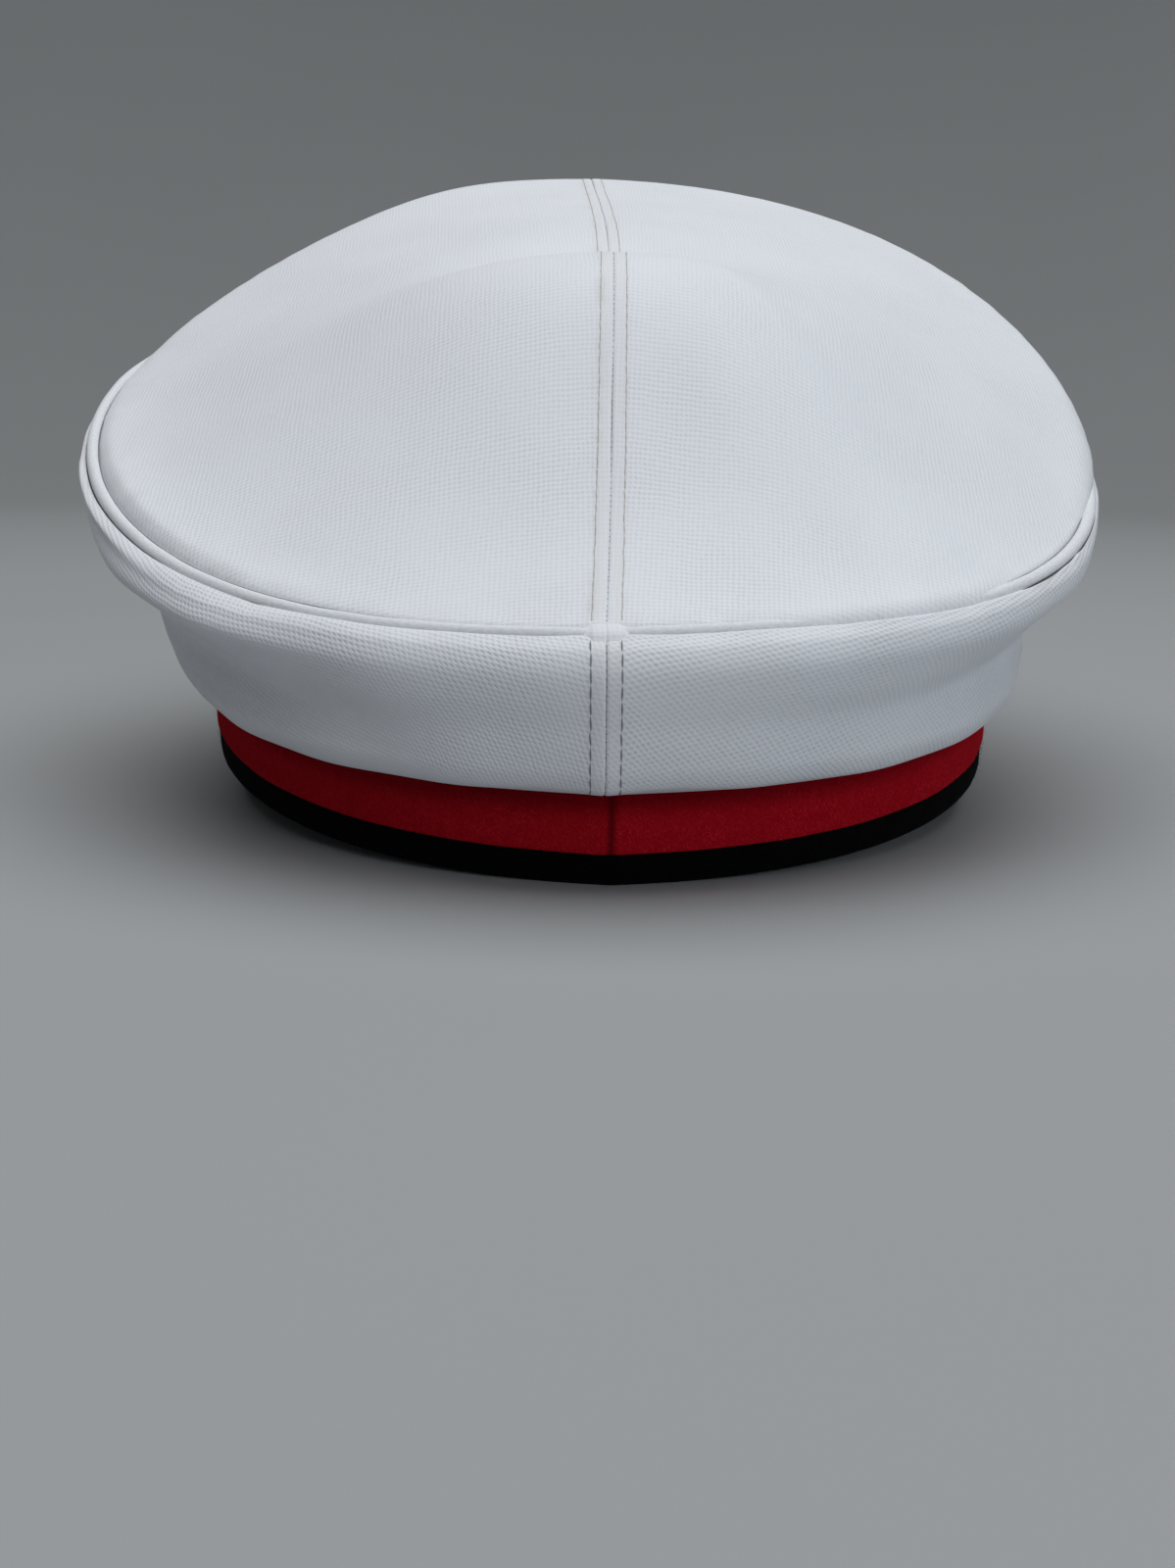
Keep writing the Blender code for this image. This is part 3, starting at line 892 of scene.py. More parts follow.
@dataclass
class CrownTop(CrownPart):
    """The two halves of the crown's top, sewn along the centre and into the piped rim."""

    part: str = "top"
    slot: Slot = Slot.TOP
    step: float = 0.0011
    seam_step: float = 0.0006
    fine_step: float = 0.00022
    edge_step: float = 0.00016
    edge_zone: float = 0.004
    seam_zone: float = 0.006
    seam_spread: float = 0.0036
    corner: float = math.radians(50)
    tuck_depth: float = 0.0007
    tuck_reach: float = 0.0010
    sunk_left: float = 0.9
    sunk_left_span: Span = (65.0, 40.0)
    roll_reach: float = 0.0036
    roll_depth: float = 0.0033
    flush_reach: float = 0.0030
    flush_depth: float = 0.0021
    flush_lift: float = 0.0006
    flush_lift_spread: float = 0.004
    seam_clear: Span = (0.0, 0.002)
    slack_clear: Span = (0.002, 0.012)
    pucker_span: Span = (0.002, 0.004)
    soil_left: float = 1.0
    soil_right: float = 0.4
    soil_spread: float = 0.0010
    rim_soil: float = 0.5
    rim_soil_spread: float = 0.003

    def plan_grid(self, side: Side) -> Array:
        """Plan points of one half: rows from back to front, columns from the seam out to the rim.

        Next to the seam the columns keep their distance to it. From there on they are a Coons patch: the blend
        of the last such column with the side of the rim, plus the blend of the rim's back and front stretches,
        less the blend of the four corners.

        Args:
            side: which half.

        Returns:
            Grid of plan points.
        """
        sign = side.value

        def even(length: float, start: bool) -> Array:
            """Shares of a length from 0 to 1, closer together at its graded ends."""
            place = graded(length, self.step, self.edge_step, self.edge_zone, start=start)
            return (place / place[-1])[:, None]

        def edge(start: float, stop: float, count: int) -> Pair:
            """Angles between two, and the edge of the top there."""
            angle = np.linspace(start, stop, count)
            return angle, FORM.rim_middle + FORM.top_edge(sign * angle)

        def arc(start: float, stop: float, share: Array) -> Array:
            """Edge of the top between two angles, at even shares of its length."""
            _, line = edge(start, stop, 1500)
            run = run_length(line)
            return read_along(line, run, share[:, 0] * run[-1])

        down, out = even(2 * FORM.rim_half_length, True), even(FORM.rim_half_width, False)
        near = graded(self.seam_zone, self.seam_step, self.fine_step, self.seam_spread, end=False)
        ends = []
        turns = []
        for start, stop in ((0.0, self.corner), (math.pi, math.pi - self.corner)):
            angle, line = edge(start, stop, 600)
            lateral = sign * (line[:, 0] - FORM.seam_x(line[:, 1]))
            ends.append(np.interp(near, lateral, line[:, 1]))
            turns.append(np.interp(self.seam_zone, lateral, angle))
        y = ends[0] + (ends[1] - ends[0]) * down
        strip = np.stack([FORM.seam_x(y) + sign * near, y], axis=-1)

        back = arc(turns[0], self.corner, out)[None]
        front = arc(turns[1], math.pi - self.corner, out)[None]
        seam = strip[:, -1:]
        rim = arc(self.corner, math.pi - self.corner, down)[:, None]
        down, out = down[..., None], out.T[..., None]
        corners = ((1 - down) * ((1 - out) * seam[:1] + out * rim[:1])
                   + down * ((1 - out) * seam[-1:] + out * rim[-1:]))
        patch = (1 - out) * seam + out * rim + (1 - down) * back + down * front - corners
        return np.concatenate([strip, patch[:, 1:]], axis=1)

    def surface(self, side: Side) -> tuple[Surface, Array, Marks]:
        """One half as it is laid: the puffed form, its turned-down edge, seam, pillowed rim and ripples.

        Args:
            side: which half.

        Returns:
            The surface, the place of each point on the flat cloth, and the marks.
        """
        sign = side.value
        plan = self.plan_grid(side)
        share, angle = FORM.top_polar(plan)
        inward = np.clip(1 - share, 0, 1) * np.linalg.norm(FORM.top_edge(angle), axis=-1)
        height = FORM.top_height(share, angle, plan)
        roll = FORM.roll(angle)
        flush = FORM.flush(angle) * (1 - roll)
        sunk = 1 + self.sunk_left * bell_at(angle, *self.sunk_left_span)
        tuck = self.tuck_depth * sunk * (1 - roll) * (1 - flush)
        height -= tuck * np.clip(1 - inward / self.tuck_reach, 0, 1) ** 2
        height += self.flush_lift * flush * bell(inward, self.flush_lift_spread)
        for turned, reach, depth in ((roll, self.roll_reach, self.roll_depth),
                                     (flush, self.flush_reach, self.flush_depth)):
            height -= turned * depth * (1 - np.sqrt(1 - np.clip(1 - inward / reach, 0, 1) ** 2))
        for swell in RIM_SWELLS:
            rise = (1 - bell(inward, swell.reach)) * np.exp(-inward / swell.fade)
            height += swell.height * bell_at(angle, swell.angle, swell.spread) * rise
        points = np.concatenate([plan, height[..., None]], axis=-1)
        across = sign * (plan[..., 0] - FORM.seam_x(plan[..., 1]))
        along = run_length(points, axis=0)
        relief = SEAM.relief(across, along) * ramp(inward, *self.seam_clear)
        slack = Ripple(length=0.034, height=0.00016, seed=11 + sign)
        relief += slack.at(plan[..., 0], plan[..., 1]) * ramp(inward, *self.slack_clear)
        pucker = Ripple(length=0.0085, height=0.00005, seed=31 + sign)
        middle, spread = self.pucker_span
        relief += pucker.at(angle * FORM.rim_half_length, inward) * bell(inward - middle, spread)
        laid = points + upward_normals(points) * relief[..., None]
        cloth = np.stack([across, plan[..., 1]], axis=-1)
        seam_soil = self.soil_left if side is Side.LEFT else self.soil_right
        soil = seam_soil * bell(across - SEAM.row_out, self.soil_spread)
        soil += self.rim_soil * bell(inward, self.rim_soil_spread)
        marks = {"pressed": SEAM.pressed(across), "soil": np.clip(soil, 0, 1)}
        return Surface(laid, upward_normals(laid), across, along), cloth, marks


@dataclass
class CrownSide(CrownPart):
    """The two halves of the crown's side, sewn at the back and the front and turned in over the band.

    The relief's spans are in rows of the form, counted from the turned-in edge or back from the tuck.
    """

    part: str = "side"
    slot: Slot = Slot.SIDE
    step: float = 0.0012
    fine_step: float = 0.00022
    seam_spread: float = 0.0036
    seam_angle: float = 0.0004
    turn_in_steps: int = 6
    roll_steps: int = 10
    tuck_steps: int = 4
    tuck_in: float = 0.0012
    tuck_down: float = 0.0001
    thinned: float = 0.85
    thinned_below: Span = (0.0075, 0.0025)
    thinned_turn_in: Span = (0.0070, 0.0035)
    relief_from: Span = (1.4, 2.6)
    relief_to: Span = (0.4, 1.2)
    pucker_span: Span = (1.5, 0.9)
    ripple: Ripple = Ripple(0.030, 0.00022, 51)
    ripple_squash: float = 1.6
    pucker: Ripple = Ripple(0.0095, 0.00006, 71)
    seam_soil: float = 0.3
    seam_soil_spread: float = 0.0012
    rim_soil: float = 0.4
    rim_soil_spread: float = 0.004

    def surface(self, side: Side) -> tuple[Surface, Array, Marks]:
        """One half as it is laid: the rolled form, its seams, soft ripples and the puckers below the piping.

        Args:
            side: which half.

        Returns:
            The surface, the place of each point on the flat cloth, and the marks.
        """
        span = math.pi * FORM.rim_half_length
        place = graded(span, self.step, self.fine_step, self.seam_spread)
        angle = side.value * (place / span * (math.pi - 2 * self.seam_angle) + self.seam_angle)
        rows = FORM.side_rows(angle)
        _, normal = FORM.band_line(angle)
        tuck = rows[-1] - np.column_stack([normal * self.tuck_in, np.full(len(angle), self.tuck_down)])
        rows = np.concatenate([rows, tuck[None]])
        last = len(rows) - 1
        places = np.concatenate([
            np.linspace(0, 3, 3 * self.turn_in_steps, endpoint=False),
            np.linspace(3, last - 1, (last - 4) * self.roll_steps, endpoint=False),
            np.linspace(last - 1, last, self.tuck_steps),
        ])
        points = smooth_rows(rows, places)
        across, along = run_length(points, axis=1), run_length(points, axis=0)
        to_front = across[:, -1:] - across
        level = places[:, None]
        clear = ramp(level, *self.relief_from) * ramp(last - level, *self.relief_to)
        middle, spread = self.pucker_span
        puckered = self.pucker.at(across, along) * bell(last - level - middle, spread)
        rippled = self.ripple.at(across, along * self.ripple_squash)
        relief = (SEAM.relief(across, along) + SEAM.relief(to_front, along) + rippled + puckered) * clear
        laid = points + outward_normals(points) * relief[..., None]
        cloth = np.stack([np.broadcast_to(across[len(places) // 2], across.shape), along], axis=-1)
        near = np.minimum(across, to_front)
        soil = self.seam_soil * bell(near - SEAM.row_out, self.seam_soil_spread)
        soil += self.rim_soil * bell(along[-1:] - along, self.rim_soil_spread)
        marks = {"pressed": SEAM.pressed(near), "soil": np.clip(soil, 0, 1)}
        return Surface(laid, outward_normals(laid), across, along), cloth, marks

    def wall(self, surface: Surface) -> Array:
        """Thickness of the cloth, thinned where it turns in below the rim and over the band."""
        below_rim, turned_in = (surface.along[-1:] - surface.along)[..., None], surface.along[..., None]
        wall = FORM.cloth_wall * (1 - self.thinned * ramp(below_rim, *self.thinned_below))
        return wall * (1 - self.thinned * ramp(turned_in, *self.thinned_turn_in))


@dataclass
class Stitching:
    """Rows of topstitching: short threads that dip into the cloth at both ends."""

    length: float = 0.0023
    radius: float = 0.00015
    sink: float = 0.00026
    arch: float = 0.00018
    wander: float = 0.00006
    steps: int = 6
    sides: int = 6
    blunt: float = 0.12
    blunt_power: float = 0.4
    hole_radius: float = 0.00013
    hole_depth: float = 0.0004
    hole_rise: float = 0.00003

    def starts(self, run: Array, trim: float) -> Array:
        """Places along a row where its threads start: one for each pitch, clear of the row's ends."""
        return trim + SEAM.pitch * np.arange(int((run[-1] - 2 * trim) / SEAM.pitch))

    def threads(self, points: Array, normals: Array, trim: float) -> Array:
        """Centres of the threads of one row.

        A thread's height above the cloth is a half sine wave less a sink, so that both ends lie in their holes.

        Args:
            points: points along the row.
            normals: normals of the cloth there.
            trim: length left bare at both ends of the row.

        Returns:
            Array of threads, each an array of centres.
        """
        run = run_length(points)
        starts = self.starts(run, trim)
        part = np.linspace(0, 1, self.steps)
        place = starts[:, None] + self.length * part
        centre, normal = read_along(points, run, place), unit(read_along(normals, run, place))
        aside = np.cross(unit(np.gradient(centre, axis=1)), normal)
        wander = np.random.default_rng(len(starts)).normal(0, self.wander, (len(starts), 2))
        rise = self.arch * np.sin(math.pi * part) - self.sink
        centre += aside * (wander[:, :1] * (1 - part) + wander[:, 1:] * part)[..., None]
        return centre + normal * (rise + self.radius)[:, None]

    def holes(self, points: Array, normals: Array, trim: float) -> Array:
        """Centres of the short plugs that stand for the shadow in the needle holes at the threads' ends."""
        run = run_length(points)
        place = (self.starts(run, trim) + np.array([[0.0], [self.length]])).ravel()
        centre, normal = read_along(points, run, place), unit(read_along(normals, run, place))
        rise = np.linspace(-self.hole_depth, self.hole_rise, 3)[:, None]
        return centre[:, None] + normal[:, None] * rise

    def build(self, name: str, lines: Sequence[Pair], trim: float, thread: Material,
              shadow: Material, slot: Slot) -> None:
        """Sew rows of stitches.

        Args:
            name: the piece's name.
            lines: points and normals of each row.
            trim: length left bare at both ends of a row.
            thread: material of the thread.
            shadow: material of the needle holes.
            slot: slot of the cloth that it is sewn on.
        """
        centres = np.concatenate([self.threads(points, normals, trim) for points, normals in lines])
        ends = np.sin(math.pi * np.linspace(self.blunt, 1 - self.blunt, self.steps)) ** self.blunt_power
        strands(name, centres, self.radius * ends, self.sides).show([thread], slot)
        plugs = np.concatenate([self.holes(points, normals, trim) for points, normals in lines])
        size = self.hole_radius * np.random.default_rng(7).uniform(0.5, 1.0, (len(plugs), 1))
        strands(f"needle_holes_{name}", plugs, size * np.array([1.0, 1.0, 0.8]), 6).show([shadow], slot)


@dataclass
class JoinMarks:
    """Needle marks of the seam itself: short threads that bridge the crease between two panels."""

    lip: float = 0.0002
    pitch: float = 0.0014
    unevenness: float = 0.15
    half_width: float = 0.00034
    slant: float = 0.25
    radius: float = 0.00006
    sink: float = 0.00010

    def build(self, name: str, left: Pair, right: Pair, trim: float,
              thread: Material, slot: Slot) -> None:
        """Lay the marks across a seam.

        Args:
            name: the piece's name.
            left: points and normals along the crease's left lip.
            right: the same along its right lip.
            trim: length left bare at both ends.
            thread: material of the thread.
            slot: slot of the cloth.
        """
        middle = (left[0] + right[0]) / 2
        run = run_length(middle)
        place = np.arange(trim, run[-1] - trim, self.pitch)
        place += np.random.default_rng(len(place)).normal(0, self.unevenness * self.pitch, len(place))
        centre, up, aside = (read_along(values, run, place)
                             for values in (middle, unit(left[1] + right[1]), unit(left[0] - right[0])))
        part = np.linspace(-1, 1, 4)[None, :, None]
        across = aside[:, None] + self.slant * unit(np.gradient(centre, axis=0))[:, None]
        centres = centre[:, None] + self.half_width * part * across - up[:, None] * self.sink
        strands(name, centres, np.array([0.5, 1.0, 1.0, 0.5]) * self.radius, 5).show([thread], slot)


@dataclass
class Piping:
    """The cord-filled welt round the rim, and the folded cover where its two ends meet at the back seam."""

    step: float = 0.0009
    sides: int = 22
    ripple: Ripple = Ripple(0.011, 0.00003, 91)
    cover_half_width: float = 0.0036
    cover_wall: float = 0.0004
    cover_crease: float = 0.30
    cover_crease_spread: float = 0.05
    sunk_ends: float = 0.36
    thinned: float = 0.28
    thinned_spread: float = 0.0042

    def frame_at(self, angle: Array) -> tuple[Array, Array, Array]:
        """Centre line of the piping, its direction outwards and its direction upwards, square to the line."""
        line = FORM.rim_line(angle)
        ahead = unit(FORM.rim_line(angle + 0.001) - FORM.rim_line(angle - 0.001))
        outwards = unit(np.cross(ahead, np.array([0.0, 0.0, 1.0])))
        middle = np.array([*FORM.rim_middle, 0.0])
        outwards *= np.sign(((line - middle) * outwards).sum(axis=-1, keepdims=True))
        upwards = np.cross(ahead, outwards)
        return line, outwards, upwards * np.sign(upwards[..., 2:])

    def build(self, finish: Material) -> None:
        """Make the welt: a circle carried round the rim, its radius rippled a little.

        Args:
            finish: material of the welt.
        """
        count = int(2 * math.pi * FORM.rim_half_length / self.step)
        angle = full_turn(count)
        line, outwards, upwards = self.frame_at(angle)
        turn = full_turn(self.sides)
        run = angle * FORM.rim_half_length
        radius = FORM.piping_radius + self.ripple.at(run[:, None], turn[None] * 0.004)
        radius *= 1 - self.thinned * bell(np.minimum(run, run[-1] - run), self.thinned_spread)[:, None]
        around = outwards[:, None] * np.cos(turn)[:, None] + upwards[:, None] * np.sin(turn)[:, None]
        sections = line[:, None] + radius[..., None] * around
        swept("rim_piping", sections, ring=True).show([finish], Slot.PIPING, "piping")

    def build_cover(self, finish: Material) -> None:
        """Make the cover: a small saddle of folded cloth over the welt, creased in its middle.

        Args:
            finish: material of the cover.
        """
        across = np.linspace(-1, 1, 61)
        angle = across * self.cover_half_width / FORM.rim_half_length
        line, outwards, upwards = self.frame_at(angle)
        keys = np.array([(-0.0034, 0.0010), (-0.0024, 0.0013), (-0.0012, 0.00138), (0.0, 0.00132),
                         (0.0010, 0.00108), (0.0019, 0.0006), (0.0027, -0.0002), (0.0034, -0.0012),
                         (0.0037, -0.0024)])
        path = smooth_rows(keys[:, None, :], np.linspace(0, len(keys) - 1, 64))[:, 0]
        edge = ramp(np.abs(across), 1.0, 0.5)
        crease = 1 - self.cover_crease * bell(across, self.cover_crease_spread)
        lifted = path[None] * (1 - self.sunk_ends * (1 - edge * crease))[:, None, None]
        face = line[:, None] + outwards[:, None] * lifted[..., :1] + upwards[:, None] * lifted[..., 1:]
        place = np.meshgrid(across * self.cover_half_width, run_length(path), indexing="ij")
        cloth = np.stack(place, axis=-1)
        marks = {"pressed": np.ones(face.shape[:2]), "soil": np.zeros(face.shape[:2])}
        shell("piping_cover", face, self.cover_wall, cloth, marks).show([finish, finish], Slot.PIPING)

    def build_shadow_line(self, line: ShadowLine, finish: Material) -> None:
        """Make one dark strand where the welt meets the cloth beside it: painted shadow of the groove there,
        with the seam's thread in it.

        Args:
            line: where it lies and how thick it is.
            finish: material of the strand, the shadow's or the thread's.
        """
        keys = np.array(line.keys)
        angle = np.radians(np.arange(keys[0, 0], keys[-1, 0] + 0.01, 0.5))
        away, turn, radius = (np.interp(np.degrees(angle), keys[:, 0], keys[:, part]) for part in (1, 2, 3))
        middle, outwards, upwards = self.frame_at(angle)
        turn = np.radians(turn)[:, None]
        way = outwards * np.cos(turn) + upwards * np.sin(turn)
        middle = middle + way * (FORM.piping_radius + away[:, None])
        around = full_turn(8)[:, None]
        ring = outwards[:, None] * np.cos(around) + upwards[:, None] * np.sin(around)
        swept(line.name, middle[:, None] + radius[:, None, None] * ring).show([finish], Slot.PIPING)


@dataclass
class Band:
    """The band: red felt laid round a black felted body whose thicker edge shows below it."""

    step: float = 0.0013
    fine_step: float = 0.00025
    seam_zone: float = 0.002
    felt_wall: float = 0.0015
    felt_round: float = 0.0005
    felt_low: float = 0.0060
    seam_dip: float = 0.00035
    seam_spread: float = 0.0007
    # Painted shade cast by the side panel's fold on the felt: none this far below the fold, full from this far.
    shaded_below: Span = (0.0085, 0.0035)
    edge_inset: float = 0.0004
    edge_wall: float = 0.0032
    edge_round: float = 0.0008
    body_wall: float = 0.0018
    felt_ripple: Ripple = Ripple(0.016, 0.00007, 101)
    felt_nap: Ripple = Ripple(0.0032, 0.000025, 103, 14)
    edge_ripple: Ripple = Ripple(0.011, 0.00008, 105)

    def angles(self) -> Pair:
        """Angles round the band, closer together at the back seam, and the run that they stand for."""
        span = 2 * math.pi * (FORM.band_half_length + FORM.band_half_width) / 2
        run = graded(span, self.step, self.fine_step, self.seam_zone)[:-1]
        return run / span * 2 * math.pi, run

    def ring(self, name: str, profile: Array, depth: Array, marks: Marks | None = None) -> Piece:
        """A profile carried round the band.

        Args:
            name: the piece's name.
            profile: closed profile of (out, up) points.
            depth: what each section's points stand out besides.
            marks: values that the material reads.

        Returns:
            The ring.
        """
        angle, _ = self.angles()
        plan, normal = FORM.band_line(angle)
        out = profile[None, :, 0] + depth
        sections = plan[:, None] + normal[:, None] * out[..., None]
        up = np.broadcast_to(profile[None, :, 1:], (*out.shape, 1))
        return swept(name, np.concatenate([sections, up], axis=-1), ring=True, marks=marks)

    def build_felt(self, red: Material) -> None:
        """Make the felt: an upright strip with a rounded lower edge and a butted seam at the back.

        Args:
            red: material of the felt.
        """
        turn = np.linspace(0, math.pi / 2, 5)
        rounded = np.column_stack([self.felt_round * (np.sin(turn) - 1),
                                   self.felt_low + self.felt_round * (1 - np.cos(turn))])
        face_up = np.arange(self.felt_low + self.felt_round + 0.0008, FORM.band_height, 0.0008)
        face = np.column_stack([np.zeros_like(face_up), face_up])
        back_up = np.linspace(FORM.band_height, self.felt_low, 6)
        back = np.column_stack([np.full(6, -self.felt_wall), back_up])
        profile = np.concatenate([rounded, face, back])
        angle, run = self.angles()
        is_face = (profile[:, 0] > -self.felt_wall + 1e-6)[None, :]
        across = FORM.band_half_width * np.abs(np.sin(angle)) + (np.cos(angle) < 0)
        dip = bell(across, self.seam_spread)[:, None]
        depth = (self.felt_ripple.at(run[:, None], profile[None, :, 1]) - self.seam_dip * dip
                 + self.felt_nap.at(run[:, None], profile[None, :, 1])) * is_face
        # The shaded mark paints the shade that the side panel's fold casts on the felt's upper part.
        below_fold = FORM.fold_height(angle)[:, None] - profile[None, :, 1]
        marks = {"seam": np.broadcast_to(dip, depth.shape), "shaded": ramp(below_fold, *self.shaded_below)}
        self.ring("band_red_felt", profile, depth, marks).show([red], Slot.RED, "band_felt")

    def build_body(self, black: Material) -> None:
        """Make the body: a wall behind the felt, and below it an edge with soft rounded corners.

        Args:
            black: material of the body.
        """
        face = -self.edge_inset
        inner = face - self.edge_wall
        wall = -(self.felt_wall + FORM.gap)
        turn = np.linspace(0, math.pi / 2, 6)
        top = self.felt_low - FORM.gap
        low_corner = np.column_stack([face - self.edge_round * (1 - np.sin(turn)),
                                      self.edge_round * (1 - np.cos(turn))])
        face_up = np.linspace(self.edge_round, top - self.edge_round / 2, 8)[1:]
        high_corner = np.column_stack([face - self.edge_round / 2 * (1 - np.cos(turn)),
                                       top - self.edge_round / 2 * (1 - np.sin(turn))])[1:]
        behind_up = np.linspace(top, FORM.band_height, 8)
        inside_up = np.linspace(FORM.band_height, self.felt_low, 8)
        inner_corner = np.column_stack([inner + self.edge_round * (1 - np.cos(turn)),
                                        self.edge_round * (1 - np.sin(turn))])
        profile = np.concatenate([
            low_corner,
            np.column_stack([np.full(7, face), face_up]),
            high_corner,
            np.column_stack([np.full(8, wall), behind_up]),
            np.column_stack([np.full(8, wall - self.body_wall), inside_up]),
            [(inner, self.felt_low - self.edge_round), (inner, self.felt_low / 2)],
            inner_corner,
        ])
        _, run = self.angles()
        is_edge = ((profile[:, 0] > wall + 1e-6) & (profile[:, 1] > self.edge_round / 2))[None, :]
        depth = self.edge_ripple.at(run[:, None], profile[None, :, 1]) * is_edge
        self.ring("band_black_body", profile, depth).show([black], Slot.BLACK, "band_body")

    def build_fuzz(self, name: str, low: float, high: float, out: float, count: int, seed: int,
                   felt: Material, slot: Slot) -> None:
        """Raise loose fibres of the felt: short curved strands that stand out and lie over at their tips.

        Args:
            name: the piece's name.
            low: lowest root.
            high: highest root.
            out: how far outside the band's face the roots lie.
            count: how many fibres.
            seed: seed of their places.
            felt: material of the felt.
            slot: slot of the felt.
        """
        draw = np.random.default_rng(seed)
        angle = draw.uniform(0, 2 * math.pi, count)
        plan, normal = FORM.band_line(angle, np.full(count, out))
        root = np.column_stack([plan, draw.uniform(low, high, count)])
        ahead = np.column_stack([-normal[:, 1], normal[:, 0], np.zeros(count)])
        up = np.array([0.0, 0.0, 1.0])
        lean = ahead * draw.normal(0, 0.9, (count, 1)) + up * draw.normal(0.1, 0.5, (count, 1))
        stand = np.column_stack([normal, np.zeros(count)]) * draw.uniform(0.25, 1.0, (count, 1))
        curl = ahead * draw.normal(0, 0.8, (count, 1)) + up * draw.normal(-0.1, 0.4, (count, 1))
        part = np.linspace(0, 1, 5)[None, :, None]
        length = draw.uniform(0.0003, 0.0010, (count, 1, 1))
        bent = part * (stand + 0.5 * lean)[:, None] + part**2 * (0.5 * curl)[:, None]
        centres = root[:, None] + length * bent
        radii = np.array([1.0, 0.9, 0.8, 0.6, 0.3]) * draw.uniform(0.000010, 0.000018, (count, 1))
        strands(name, centres, radii, 3).show([felt], slot)


@dataclass
class Peak:
    """The plain peak: a stiff crescent from the band's lower edge down to what the cap rests on."""

    half_angle: float = math.radians(62)
    wall: float = 0.0024
    tip_reach: float = 0.0025
    tip_drop: float = 0.0013
    seat_height: float = 0.0012
    arch: float = 0.0012
    fullness: float = 2.5
    flat_share: float = 0.35
    lift_power: float = 2.4
    edge_inset: float = 0.0004
    bead: float = 0.0005
    bead_spread: float = 0.0016
    stations: int = 260
    steps: int = 34
    round_steps: int = 9

    def build(self, leather: Material) -> None:
        """Make the peak.

        Across its width the reach falls by a power of the share to each side. From seat to edge the underside
        is a slope with a low arch, the upper side lies one wall above it, square to it at the edge, and a half
        circle joins the two. A low bead thickens the edge.

        Args:
            leather: material of the peak.
        """
        share = np.linspace(-1, 1, self.stations)
        seat, normal = FORM.band_line(math.pi + share * self.half_angle, FORM.gap - self.edge_inset)
        reach = self.tip_reach + (FORM.peak_reach - self.tip_reach) * (1 - np.abs(share) ** self.fullness)
        edge = seat + normal * reach[:, None]
        ground = -FORM.rest_slope * (FORM.band_half_length - edge[:, 1])
        tip_ground = -FORM.rest_slope * FORM.band_half_length * (1 + math.cos(self.half_angle))
        past_flat = np.maximum(0.0, np.abs(share) - self.flat_share) / (1 - self.flat_share)
        lift = past_flat**self.lift_power * (-self.tip_drop - tip_ground)
        fall = self.seat_height - ground - lift
        slope = np.arctan2(fall, reach)[:, None]

        part = np.linspace(0, 1, self.steps)[None, :] * (1 - self.wall / 2 / reach[:, None])
        out = part * reach[:, None]
        arch = self.arch * 4 * part * (1 - part) * reach[:, None] / FORM.peak_reach
        low = self.seat_height - part * fall[:, None] + arch
        thick = self.wall + self.bead * bell(out[:, -1:] - out, self.bead_spread)
        out_above = out + part * thick * np.sin(slope)
        high = low + thick * np.cos(slope) ** (2 * part - 1)
        turn = np.linspace(0, math.pi, self.round_steps + 2)[1:-1]
        middle_out = (out[:, -1:] + out_above[:, -1:]) / 2
        middle_up = (low[:, -1:] + high[:, -1:]) / 2
        half_out = (out[:, -1:] - out_above[:, -1:]) / 2
        half_up = (low[:, -1:] - high[:, -1:]) / 2
        round_out = middle_out + half_out * np.cos(turn) - half_up * np.sin(turn)
        round_up = middle_up + half_up * np.cos(turn) + half_out * np.sin(turn)
        run = np.concatenate([out, round_out, out_above[:, ::-1]], axis=1)
        height = np.concatenate([low, round_up, high[:, ::-1]], axis=1)
        plan = seat[:, None] + normal[:, None] * run[..., None]
        sections = np.concatenate([plan, height[..., None]], axis=-1)
        swept("peak_leather", sections).show([leather], Slot.PEAK, "peak")


